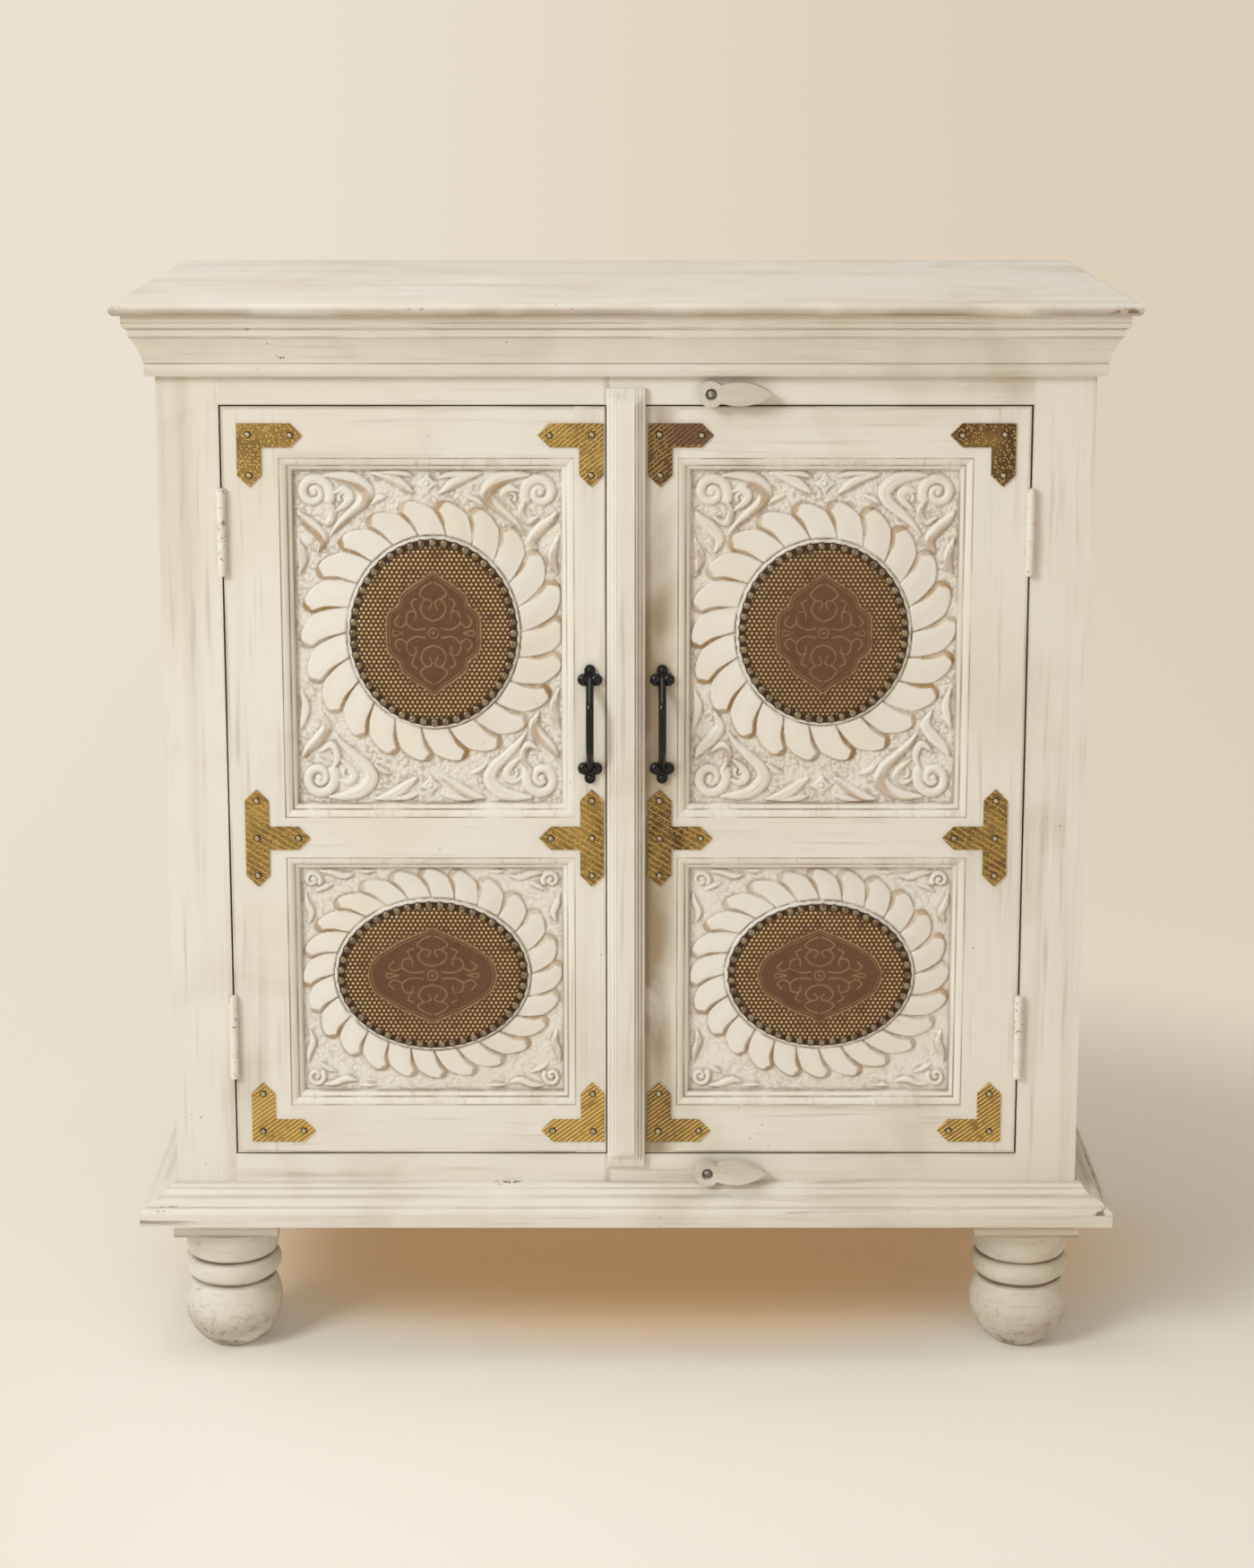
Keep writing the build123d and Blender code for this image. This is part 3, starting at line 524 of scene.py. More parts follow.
def bracket_brass(name):
    """Struck brass plate: dots or wavy lines above, broad lines on the tees and fine lines below."""
    finish = Finish(name)
    tones = finish.colours
    low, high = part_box("left_brackets")
    corner_room = 0.15

    def stripes(across, up, pitch, wander=0.0):
        """Slanting lines, 1 on their crests and -1 between them."""
        return finish.math("SINE", (finish.x * across + finish.z * up + wander) * (TURN / pitch))

    above = finish.rise(finish.z, high.z - corner_room - 0.001, high.z - corner_room)
    below = finish.rise(finish.z, low.z + corner_room, low.z + corner_room - 0.001)
    tee = (1.0 - above) * (1.0 - below)
    outer = finish.rise(abs(finish.x), 0.19, 0.20)
    weave = finish.rise(finish.cells(420.0), 0.55, 0.20)
    broad = (finish.rise(stripes(0.62, 1.0, 0.0060), 0.62, 1.0) | weave * 0.50) * tee
    fine = finish.rise(stripes(0.75, -1.0, 0.0042), -0.2, 0.8) * below
    wavy = finish.rise(stripes(0.8, -1.0, 0.0044, finish.noise(60.0) * 0.003), 0.0, 1.0) * 0.60
    dots = finish.rise(1.0 - finish.cells(430.0) * 2.0, 0.0, 0.7)
    corners = (dots * outer | (wavy | weave * 0.55) * (1.0 - outer)) * above
    struck = (broad | fine | corners) * finish.rise(finish.noise(120.0, 3.0, 0.5), 0.28, 0.52)
    cloud = finish.noise(30.0, 4.0, 0.6)
    tarnish = finish.rise(cloud, 0.36, 0.70)
    # painted light: lit is a painted highlight on the upper corner brackets, strongest at the far left, and
    # shaded a painted shade on the right door's brackets and beside the closing strip
    lit = (finish.rise(finish.x, -0.20, -0.24) * 0.14 | (1.0 - outer) * 0.10) * above
    strip_side_shade = near(finish.x, 0.026, 0.050) * (0.22 - tee * 0.10)
    shaded = finish.rise(finish.x, -0.06, 0.02) * 0.10 + strip_side_shade - lit
    share = tarnish * 0.18 + below * 0.28 + tee * 0.12 - shaded + 0.08
    ground = finish.blend(share, tones.brass_dark, tones.gold)
    tone = finish.blend(struck * (0.76 + below * 0.1 + tee * 0.12 - shaded), ground, tones.gold)
    brown = near(finish.x, 0.062, 0.034) * finish.rise(finish.z, 0.8615, 0.8625)
    return finish.surface(
        Base_Color=finish.blend(brown * 0.85, tone, tones.copper),
        Metallic=0.50,
        Roughness=0.44 - struck * 0.14 + tarnish * 0.08,
        Normal=finish.bump(struck + cloud * 0.3, 0.0006, 0.9),
    )


def tack_bronze(name, polish, rim):
    """Bronze heads painted dark round their foot, in a rim of the given share, as shade, and brighter towards
    their crown, where polish and a painted highlight stand; the more polished the brighter.
    """
    finish = Finish(name)
    tones = finish.colours
    cloud = finish.noise(160.0, 3.0, 0.5)
    crown = finish.attribute("crown")
    # painted shade round the foot of each head and a painted highlight towards its crown, by its height on
    # the dome
    tone = finish.blend(finish.rise(crown, rim, rim + 0.4), tones.iron, tones.brass_dark)
    share = finish.rise(crown, rim + 0.2, 0.95) * (finish.rise(cloud, 0.30, 0.60) * 0.4 + polish)
    return finish.surface(
        Base_Color=finish.blend(share, tone, tones.bronze),
        Metallic=0.55,
        Roughness=0.22 + cloud * 0.2,
        Normal=finish.bump(cloud, 0.0004, 0.7),
    )


def black_iron(name):
    """Cast iron under gloss black enamel."""
    finish = Finish(name)
    cloud = finish.noise(150.0, 3.0, 0.4)
    return finish.surface(
        Base_Color=finish.colours.iron,
        Roughness=0.08 + cloud * 0.10,
        Specular_IOR_Level=0.34,
        Normal=finish.bump(cloud, 0.0002, 0.4),
    )


def painted_hinge(name):
    """Steel hinges painted over with the rest, chipped here and there."""
    finish = Finish(name)
    tones = finish.colours
    chips = finish.rise(finish.noise(210.0, 4.0, 0.8), 0.60, 0.66)
    tone = finish.blend(finish.rise(finish.noise(40.0), 0.4, 0.7) * 0.5, tones.paint, tones.paint_warm)
    return finish.surface(
        Base_Color=finish.blend(chips * 0.8, tone, tones.grime),
        Metallic=chips * 0.5,
        Roughness=0.50,
        Normal=finish.bump(1.0 - chips, 0.0003, 0.6),
    )


def steel_screw(name):
    """Dull steel screw heads with paint caught on them."""
    finish = Finish(name)
    cloud = finish.noise(300.0, 3.0)
    dull, bright = (0.22, 0.20, 0.17), (0.50, 0.48, 0.44)
    tone = finish.blend(finish.rise(cloud, 0.5, 0.65), dull, bright)
    return finish.surface(Base_Color=tone, Metallic=0.9, Roughness=0.42 + cloud * 0.2)


# the painted warm shade on the paper under the cabinet: middle and half size of an oval, in metres
PAINTED_SHADE_MIDDLE, PAINTED_SHADE_HALF = (0.04, 0.07), (0.56, 0.29)


def paper(name):
    """Seamless paper: a warm shade painted where the cabinet shades it, and a pale glow for the camera, full
    far away and faint near the cabinet, which lightens its shadow as painted light.
    """
    finish = Finish(name)
    tones = finish.colours
    across = (finish.x - PAINTED_SHADE_MIDDLE[0]) * (1 / PAINTED_SHADE_HALF[0])
    along = (finish.y - PAINTED_SHADE_MIDDLE[1]) * (1 / PAINTED_SHADE_HALF[1])
    shaded = finish.rise(across * across + along * along, 1.0, 0.15)
    tone = finish.blend(finish.noise(1.2) * 0.05, tones.backdrop, tones.paint_warm)
    # painted shadow: the oval where the cabinet shades the paper takes the painted shade's warm tone
    tone = finish.blend(shaded * 0.78, tone, tones.painted_shade_tint)
    # painted falloff of light: far away the paper glows dimmer on the side away from the key lamp
    dim = finish.rise(finish.x, -1.6, 1.6) * finish.rise(finish.x, 8.0, 2.6)
    dim = dim * finish.rise(finish.y, -0.5, 1.5)
    pale = finish.blend(dim, tones.distance, tones.distance_dim)
    pale = finish.blend(shaded, pale, tones.painted_shade_tint)
    lit = finish.principled(Base_Color=tone, Roughness=0.95)
    glowing = finish.principled(
        Base_Color=(0.0, 0.0, 0.0),
        Specular_IOR_Level=0.0,
        Emission_Color=pale,
        Emission_Strength=1.0,
    )
    # distance from the cabinet, in which what lies in front of it counts for less
    across = finish.x - 0.25
    along = finish.y | (finish.y * -0.6)
    far = finish.rise(across * across + along * along, 0.15, 1.15)
    # for the camera the paper glows with the pale tone, fully far away and at 0.15 near the cabinet: painted
    # light that lightens the shadow there, and under the cabinet the glow takes the painted shade's tint
    return finish.close(
        finish.node("MixShader", None, {0: (far | 0.15) * finish.sight(), 1: lit, 2: glowing}))


# ---------- shared modelling steps ----------

def start_clean():
    """Leaves edit mode with nothing selected."""
    if bpy.context.object and bpy.context.object.mode != "OBJECT":
        bpy.ops.object.mode_set(mode="OBJECT")
    bpy.ops.object.select_all(action="DESELECT")


def settle(piece, name, side, material, nodes):
    """Puts a finished piece's place into its mesh and hands it to the door it moves with."""
    start_clean()
    piece.select_set(True)
    bpy.context.view_layer.objects.active = piece
    bpy.ops.object.transform_apply(location=True, rotation=True, scale=True)
    piece.name = name
    piece.data.name = name
    piece.data.materials.clear()
    piece.data.materials.append(material)
    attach(piece, f"door_{side}")
    if nodes:
        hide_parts(*nodes)


def dress(material, *nodes):
    """Gives CAD nodes whose shape stays their finish."""
    for node in nodes:
        NODES[node].data.materials.clear()
        NODES[node].data.materials.append(material)


def vertex_places(mesh):
    """The places of a mesh's vertices, one row for each."""
    places = np.zeros(len(mesh.vertices) * 3, np.float64)
    mesh.vertices.foreach_get("co", places)
    return places.reshape(-1, 3)


def write_attribute(mesh, name, values):
    mesh.attributes.new(name, "FLOAT", "POINT").data.foreach_set("value", values.astype(np.float32).ravel())


def upright_grid(columns, rows, centre, width, height):
    """A flat grid that faces the front, with its size in its mesh."""
    start_clean()
    bpy.ops.mesh.primitive_grid_add(
        x_subdivisions=columns,
        y_subdivisions=rows,
        size=1.0,
        location=centre,
        rotation=(math.pi / 2, 0.0, 0.0),
    )
    piece = bpy.context.object
    piece.scale = (width, height, 1.0)
    bpy.ops.object.transform_apply(location=True, rotation=True, scale=True)
    return piece


def close_behind(depth, spread=None, centre=None):
    """Carries the open edge of a front surface outwards by a spread, if given, then back, and closes it."""
    bpy.ops.object.mode_set(mode="EDIT")
    bpy.ops.mesh.select_mode(type="EDGE")
    bpy.ops.mesh.select_all(action="DESELECT")
    bpy.ops.mesh.select_non_manifold()
    if spread:
        bpy.ops.mesh.extrude_region_move()
        bpy.ops.transform.resize(value=spread, center_override=centre)
    bpy.ops.mesh.extrude_region_move(TRANSFORM_OT_translate={"value": (0.0, depth, 0.0)})
    bpy.ops.mesh.edge_face_add()
    bpy.ops.mesh.select_all(action="SELECT")
    bpy.ops.mesh.normals_make_consistent(inside=False)
    bpy.ops.object.mode_set(mode="OBJECT")


def smooth_below(degrees):
    """Smooth shading over every edge that turns less than the angle."""
    bpy.ops.object.shade_smooth_by_angle(angle=math.radians(degrees))


def oval_line(half_width, half_height, start=0.0):
    """Points once round an oval, every half degree, and the distance along it to each."""
    turns = np.linspace(start, start + TURN, 721)
    x, z = half_width * np.cos(turns), half_height * np.sin(turns)
    along = np.concatenate([[0.0], np.cumsum(np.hypot(np.diff(x), np.diff(z)))])
    return x, z, along


def smooth(value, low, high):
    """0 below low and 1 above high, with soft ends."""
    share = np.clip((value - low) / (high - low), 0.0, 1.0)
    return share * share * (3 - 2 * share)


def hump(value, width):
    """1 where the value is 0, falling to nothing about twice the width away."""
    return np.exp(-(value / width) ** 2)


def flowing(points, spacing=0.7):
    """A smooth line through (x, z, half width) points, as closely spaced samples."""
    known = np.array(points, float)
    held = np.vstack([2 * known[0] - known[1], known, 2 * known[-1] - known[-2]])
    samples = []
    for a, b, c, d in zip(held, held[1:], held[2:], held[3:]):
        steps = max(2, int(np.hypot(*(c - b)[:2]) / spacing))
        t = np.linspace(0.0, 1.0, steps, endpoint=False)[:, None]
        square = 2 * a - 5 * b + 4 * c - d
        cube = 3 * b - a - 3 * c + d
        samples.append(0.5 * (2 * b + (c - a) * t + square * t**2 + cube * t**3))
    samples.append(known[-1:])
    return np.vstack(samples)


# ---------- carved panels ----------

# in metres: width of the moulding round a panel, thickness of the panel behind its carved ground,
# and how far the carved surface goes on under the moulding
MOULDING, GROUND_DEPTH, SPARE = 0.012, 0.008, 0.002

# the rest in millimetres: how much of its plateau shows round a medallion,
# and the outer half width and half height of a ring of petals
PLATEAU_MARGIN = 3.0
PETAL_RINGS = {"upper": (121.0, 121.0), "lower": (121.0, 102.0)}
# how many petals more than the setting a ring has
EXTRA_PETALS = {"upper": 0, "lower": 2}
# half width and depth of a leaf's vein, and how far a leaf may stray from its drawn place
VEIN_HALF_WIDTH, VEIN_DEPTH, LEAF_WANDER = 0.9, 0.55, 0.8
# half size of a flower, and where they stand: (1 at the top or -1 at the bottom, distance from that end)
FLOWER_SIZE = 9.5
FLOWERS = ((1, 12.5), (-1, 16.0))

# leaves of one corner: (distance from the side, distance from the end, half width)
UPPER_LEAVES = (
    ((29, 5, 1.6), (42, 5.5, 4.4), (56, 9, 6.2), (66, 19, 6.6),
     (63, 29, 5.4), (52, 39, 4.4), (41, 49, 3.0), (33, 59, 0.9)),
    ((70, 3.5, 1.0), (82, 6, 4.4), (93, 11, 5.2), (102, 17.5, 3.4), (109, 22, 0.7)),
    ((37, 20, 1.2), (45, 17.5, 3.4), (51, 22.5, 4.0), (47, 30, 3.2), (38, 37, 0.9)),
    ((4.5, 39, 1.4), (10, 46, 4.4), (19, 54, 5.6), (26, 64, 4.6), (21, 76, 0.9)),
    ((3, 62, 1.0), (6.5, 72, 3.6), (8, 82, 3.8), (4, 95, 0.8)),
    ((30, 26, 1.4), (35, 38, 3.0), (30, 48, 3.4), (20, 43, 1.2)),
    ((108, 6.5, 0.8), (99, 4, 2.8), (88, 3, 2.4), (76, 2.5, 0.8)),
    ((69, 32, 0.8), (76, 27, 2.6), (84, 24, 0.8)),
)
LOWER_LEAVES = (
    ((18, 4, 0.8), (28, 5, 2.8), (39, 8.5, 3.2), (49, 7, 0.8)),
    ((3.5, 24, 0.8), (5, 33, 2.8), (8.5, 42, 3.0), (6, 52, 0.8)),
    ((15, 22, 0.9), (22, 18, 2.4), (30, 15, 0.9)),
    ((52, 3.5, 0.6), (60, 4, 2.0), (68, 3.2, 0.6)),
)
# spirals of one corner: (distance from the side, from the end, outer radius, turns, start in radians, hand)
UPPER_SPIRALS = ((18.5, 20.5, 14.5, 1.40, 0.4, -1), (45, 24.5, 4.6, 1.0, 2.4, 1))
LOWER_SPIRALS = ((10.5, 11.5, 7.4, 1.3, 0.4, -1),)


def volute(x, z, outer, turns, start, hand):
    """Points of a spiral that winds inwards round a centre, with its half width."""
    share = np.linspace(0.0, 1.0, 22)
    angle = start + hand * share * turns * TURN
    radius = outer * (1 - 0.78 * share)
    width = outer * (0.36 - 0.17 * share)
    return np.column_stack([x + radius * np.cos(angle), z + radius * np.sin(angle), width])


class Carving:
    """A height field in millimetres over a panel, measured from the middle of its medallion."""

    def __init__(self, columns, rows, middle, half):
        """The places of the columns and rows, and the middle and half size of the opening."""
        self.columns = columns
        self.rows = rows
        self.middle = middle
        self.half = half
        self.x, self.z = np.meshgrid(columns, rows)
        self.height = np.zeros_like(self.x)
        self.wash = np.zeros_like(self.x)

    def around(self, x, z, reach):
        """The part of the field round a place, and the square of its distance as a share of the reach."""
        spot = (
            slice(*np.searchsorted(self.rows, (z - reach, z + reach))),
            slice(*np.searchsorted(self.columns, (x - reach, x + reach))),
        )
        return spot, ((self.x[spot] - x) ** 2 + (self.z[spot] - z) ** 2) / reach**2

    def raise_along(self, samples, rise):
        """Adds a rounded ridge whose half width is given at each sample."""
        for x, z, half in samples:
            if half < 0.1:
                continue
            spot, apart = self.around(x, z, half)
            ridge = rise * min(1.0, half / 1.8) * np.clip(1 - apart, 0.0, None) ** 0.5
            self.height[spot] = np.maximum(self.height[spot], ridge)

    def cut_along(self, samples, half, depth):
        """Cuts a narrow vein of even width."""
        cut = np.zeros_like(self.height)
        for x, z, _ in samples:
            spot, apart = self.around(x, z, half)
            cut[spot] = np.maximum(cut[spot], np.clip(1 - apart, 0.0, None))
        self.height -= cut * depth

    def stain_and_shade_lower_edge(self, samples, strength):
        """Rubs brown wash along the lower edge of a leaf, and so paints shade on the side that faces down."""
        overlap = 1.1
        for x, z, half in samples:
            if half < 1.5:
                continue
            spot, apart = self.around(x, z, half * overlap)
            apart = np.sqrt(apart) * overlap
            below = smooth(z - self.z[spot], half * 0.45, half * 0.80)
            edge = smooth(apart, 0.74, 0.86) * (1 - smooth(apart, 0.96, 1.04))
            self.wash[spot] = np.maximum(self.wash[spot], edge * below * strength)

    def blurred(self, reach):
        """The height field with every point averaged over its neighbours."""
        field = self.height
        width = 2 * reach + 1
        for axis in (0, 1):
            padding = [(reach + 1, reach) if axis == index else (0, 0) for index in range(2)]
            total = np.cumsum(np.pad(field, padding, mode="edge"), axis=axis)
            upper = np.take(total, range(width, total.shape[axis]), axis=axis)
            lower = np.take(total, range(0, total.shape[axis] - width), axis=axis)
            field = (upper - lower) / width
        return field

    def inside_opening(self):
        """How far each point lies inside the opening that the mouldings leave."""
        return np.minimum(
            self.half[0] - np.abs(self.x - self.middle[0]),
            self.half[1] - np.abs(self.z - self.middle[1]),
        )


def carve_corners(carving, leaves, spirals, rise, seed):
    """The scrolls and leaves in the four corners of a panel; the lower corners are a little taller."""
    dice = np.random.default_rng(seed)
    veins = []
    for across in (-1, 1):
        for up in (-1, 1):
            room = 1.0 if up > 0 else 1.12

            def placed(points, wander=0.0):
                spots = np.array(points, float)
                spots[:, 1] *= room
                spots[:, :2] += dice.uniform(-wander, wander, 2)
                spots[:, 0] = across * (carving.half[0] - spots[:, 0]) + carving.middle[0]
                spots[:, 1] = up * (carving.half[1] - spots[:, 1]) + carving.middle[1]
                return spots

            for leaf in leaves:
                samples = flowing(placed(leaf, LEAF_WANDER))
                carving.raise_along(samples, rise)
                if dice.uniform() < 0.6:
                    carving.stain_and_shade_lower_edge(samples, dice.uniform(0.35, 0.8))
                veins.append(samples[len(samples) // 6: -len(samples) // 6])
            for x, z, outer, *wind in spirals:
                carving.raise_along(flowing(placed(volute(x, z, outer, *wind))), rise * 0.95)
                carving.raise_along(placed([(x, z, outer * 0.24)]), rise * 1.05)
    for samples in veins:
        carving.cut_along(samples, VEIN_HALF_WIDTH, VEIN_DEPTH)


def carve_flower(carving, x, z, rise):
    """A four-petalled flower in a diamond."""
    size = FLOWER_SIZE
    carving.raise_along([(x, z, size * 0.30)], rise * 1.15)
    corners = [(x + size * a, z + size * b) for a, b in ((1, 0), (0, 1), (-1, 0), (0, -1), (1, 0))]
    for (x0, z0), (x1, z1) in zip(corners, corners[1:]):
        middle = ((x0 + x1) / 2 - x) * 0.62 + x, ((z0 + z1) / 2 - z) * 0.62 + z
        carving.raise_along(flowing([(x0, z0, 0.9), (*middle, 1.7), (x1, z1, 0.9)]), rise * 0.8)
        lobe = ((x0 - x) * 0.45 + x, (z0 - z) * 0.45 + z, size * 0.26)
        carving.raise_along([lobe], rise * 0.75)


def carve_petals(carving, inner, outer, count, rise, seed):
    """A swirling ring of overlapping petals between two ovals, each with a scooped outer edge.

    Gives back how far each point lies outside the inner oval.
    """
    dice = np.random.default_rng(seed)
    from_middle = np.hypot(carving.x, carving.z) + 1e-9
    near_edge = from_middle / np.hypot(carving.x / inner[0], carving.z / inner[1])
    far_edge = from_middle / np.hypot(carving.x / outer[0], carving.z / outer[1])
    out = from_middle - near_edge
    reach = far_edge - near_edge
    ring_x, ring_z, along = oval_line((inner[0] + outer[0]) / 2, (inner[1] + outer[1]) / 2, -math.pi)
    bearing = np.arctan2(carving.z, carving.x)
    around = np.interp(bearing, np.arctan2(ring_z, ring_x), along / along[-1])
    pitch = along[-1] / count * from_middle / ((near_edge + far_edge) / 2)
    share = np.clip(out / reach, 0.0, 1.3)
    # which petal a point belongs to and how far across it; a petal leans round as it goes out
    lean = around * count - 0.70 * share**1.2
    index = np.floor(lean)
    within = lean - index
    own = index.astype(int) % count
    strength = dice.uniform(0.6, 1.0, count)[own]
    end = reach * dice.uniform(0.96, 1.02, count)[own] * (1 - 0.27 * np.abs(2 * within - 1.0) ** 2.3)
    # distance from the scooped edge, which is one flank and the tip next to it
    edge = np.minimum((1 - within) * pitch, (end - out) + 16 * np.clip(0.72 - within, 0.0, 1.0))
    hollow = 1.0 + 4.0 * smooth(share, 0.10, 0.60)
    body = rise * (0.55 + 0.45 * smooth(within, 0.0, 0.7)) * (1 - 0.15 * share)
    wall = 0.10 + 0.90 * smooth(edge, 0.2, hollow)
    tip = smooth(end - out, 0.0, 1.8)
    root = 0.40 + 0.60 * smooth(out, 0.0, 2.0)
    crease = 0.40 + 0.60 * smooth(within * pitch, 0.0, 0.9)
    inside = (out > 0) & (out < end)
    carving.height = np.where(inside, body * wall * tip * root * crease, carving.height)
    # brown wash in the scoops and in a thin line round the tips
    crescent = (1 - smooth(edge, hollow * 0.80, hollow * 1.05)) * smooth(share, 0.05, 0.30)
    carving.wash = np.where(inside, crescent * strength, carving.wash)
    rim = hump(out - end, 0.7) * 0.6
    carving.wash = np.maximum(carving.wash, np.where(out > 0, rim * strength, 0.0))
    return out


def carve_plateau(carving, out, rise):
    """The flat oval that carries the medallion, with a thin bead along its edge."""
    flat = smooth(-out, -0.2, 0.9) * rise
    bead = hump(out + 1.3, 0.7) * 0.45
    carving.height = np.where(out < 0.4, np.maximum(flat + bead, carving.height), carving.height)
    carving.wash = np.where(out < 0.0, 0.0, carving.wash)


def carve_design(carving, row, oval, plateau, sizes, seed):
    """All the carving of one panel, and the masks of its dirt, its wash and its bare ground."""
    upper = row == "upper"
    leaf_rise = sizes.leaf_rise / MM
    leaves, spirals = (UPPER_LEAVES, UPPER_SPIRALS) if upper else (LOWER_LEAVES, LOWER_SPIRALS)
    carve_corners(carving, leaves, spirals, leaf_rise, seed)
    for up, gap in FLOWERS if upper else ():
        carve_flower(carving, carving.middle[0], up * (carving.half[1] - gap) + carving.middle[1], leaf_rise)
    petals = sizes.petals + EXTRA_PETALS[row]
    out = carve_petals(carving, oval, PETAL_RINGS[row], petals, sizes.petal_rise / MM, seed)
    carve_plateau(carving, out, plateau)
    away = carving.inside_opening()
    carving.height = np.maximum(carving.height * smooth(away, -0.6, 0.8), 0.0)
    cavity = np.clip((carving.blurred(3) - carving.height) / 0.75, 0.0, 1.0)
    along_moulding = (1 - smooth(away, 0.2, 2.4)) * 0.7
    flat = 1 - smooth(carving.height, 0.15, 0.7)
    wash_share, ground_share = (1.0, 1.0) if upper else (0.7525, 0.55)
    return {
        "cavity": np.maximum(cavity, along_moulding),
        "wash": carving.wash * wash_share,
        "ground": flat * smooth(out, 1.0, 3.0) * ground_share,
    }


def carve_panel(side, row, sizes, material):
    """One carved panel, in the place of its plain board."""
    node = f"{side}_panel_{row}"
    _, high, centre, half = extent(node)
    _, medal_high, medal, half_medal = extent(f"{side}_medallion_{row}")
    hidden = TONGUE + MOULDING
    ground = high.y - GROUND_DEPTH
    width, height = 2 * (half.x - hidden + SPARE), 2 * (half.z - hidden + SPARE)
    columns, rows = round(width / sizes.carving_step), round(height / sizes.carving_step)
    piece = upright_grid(columns, rows, (centre.x, ground, centre.z), width, height)
    places = vertex_places(piece.data)
    # the column and the line of the grid that each vertex stands on
    column = np.rint((places[:, 0] - places[:, 0].min()) / width * columns).astype(int)
    line = np.rint((places[:, 2] - places[:, 2].min()) / height * rows).astype(int)
    carving = Carving(
        (np.linspace(-width / 2, width / 2, columns + 1) + centre.x - medal.x) / MM,
        (np.linspace(-height / 2, height / 2, rows + 1) + centre.z - medal.z) / MM,
        ((centre.x - medal.x) / MM, (centre.z - medal.z) / MM),
        ((half.x - hidden) / MM, (half.z - hidden) / MM),
    )
    oval = (half_medal.x / MM + PLATEAU_MARGIN, half_medal.z / MM + PLATEAU_MARGIN)
    seed = 11 + 2 * SIDES.index(side) + ROWS.index(row)
    masks = carve_design(carving, row, oval, (ground - medal_high.y) / MM, sizes, seed)
    places[:, 1] -= carving.height[line, column] * MM
    piece.data.vertices.foreach_set("co", places.ravel())
    for name, mask in masks.items():
        write_attribute(piece.data, name, mask[line, column])
    spread = (2 * half.x / width, 1.0, 2 * half.z / height)
    close_behind(GROUND_DEPTH, spread, (centre.x, ground, centre.z))
    smooth_below(80)
    # the sides and the back are plain, so the masks end at the front
    behind = vertex_places(piece.data)[:, 1] > ground + 0.001
    values = np.zeros(len(behind), np.float32)
    for name in masks:
        data = piece.data.attributes[name].data
        data.foreach_get("value", values)
        data.foreach_set("value", np.where(behind, np.float32(0), values))
    settle(piece, f"{side}_carved_panel_{row}", side, material, [node])


# ---------- closing strip ----------

# section of the strip: (distance from its middle, height above its back), in millimetres
STRIP_SECTION = (
    (0.0, 12.0), (7.8, 12.0), (8.2, 10.6), (8.7, 11.2), (10.3, 10.4), (10.8, 8.8),
    (11.3, 9.2), (13.5, 7.6), (14.1, 6.0), (14.6, 6.4), (16.8, 5.4), (17.2, 4.4),
)
# height of its plain ends, how far they reach, and how steeply the section rises from them
STRIP_END, STRIP_STOP, STRIP_SLOPE = 5.6, 8.0, 1.1
# height of its outer edge all round
STRIP_EDGE = 4.0
# squares of its surface across and along
STRIP_GRID = (92, 180)


def mould_strip(material):
    """The closing strip: a flat land between stepped beads, stopped short of both ends."""
    _, high, centre, half = extent("closing_strip")
    start = (centre.x, high.y - STRIP_EDGE * MM, centre.z)
    piece = upright_grid(*STRIP_GRID, start, 2 * half.x, 2 * half.z)
    places = vertex_places(piece.data)
    across = np.abs(places[:, 0] - centre.x) / MM
    from_end = (half.z - np.abs(places[:, 2] - centre.z)) / MM
    depth = np.interp(across, *zip(*STRIP_SECTION))
    depth = np.minimum(depth, STRIP_END + np.clip(from_end - STRIP_STOP, 0.0, None) * STRIP_SLOPE)
    depth = np.where((from_end < 0.1) | (across > half.x / MM - 0.1), STRIP_EDGE, depth)
    places[:, 1] = high.y - depth * MM
    piece.data.vertices.foreach_set("co", places.ravel())
    close_behind(STRIP_EDGE * MM)
    smooth_below(30)
    settle(piece, "moulded_closing_strip", "right", material, ["closing_strip"])


# ---------- medallions ----------

# in metres: distance between two points of the beaten surface, and how far its edge goes on behind it
BEATING_STEP, DISC_EDGE = 0.00066, 0.0004

# one quarter of the raised frame in the middle of a medallion: (share of the half width, of the half height)
CARTOUCHES = {
    "upper": ((0.0, 0.67), (0.10, 0.60), (0.22, 0.53), (0.38, 0.42), (0.42, 0.31), (0.55, 0.20), (0.57, 0.0)),
    "lower": ((0.0, 0.66), (0.10, 0.60), (0.20, 0.55), (0.34, 0.47), (0.48, 0.36), (0.62, 0.22), (0.68, 0.0)),
}
# the scrolls in one quarter of that frame
SCROLLS = (
    ((0.00, 0.13), (0.10, 0.17), (0.15, 0.27), (0.09, 0.36), (0.02, 0.33), (0.05, 0.26)),
    ((0.09, 0.36), (0.16, 0.42), (0.10, 0.50), (0.02, 0.54)),
    ((0.10, 0.05), (0.22, 0.04), (0.32, 0.11), (0.30, 0.22), (0.22, 0.23), (0.21, 0.15)),
    ((0.32, 0.11), (0.40, 0.06), (0.46, 0.12), (0.41, 0.19)),
    ((0.22, 0.23), (0.26, 0.33), (0.20, 0.37)),
    ((0.36, 0.00), (0.47, 0.03), (0.49, 0.00)),
)


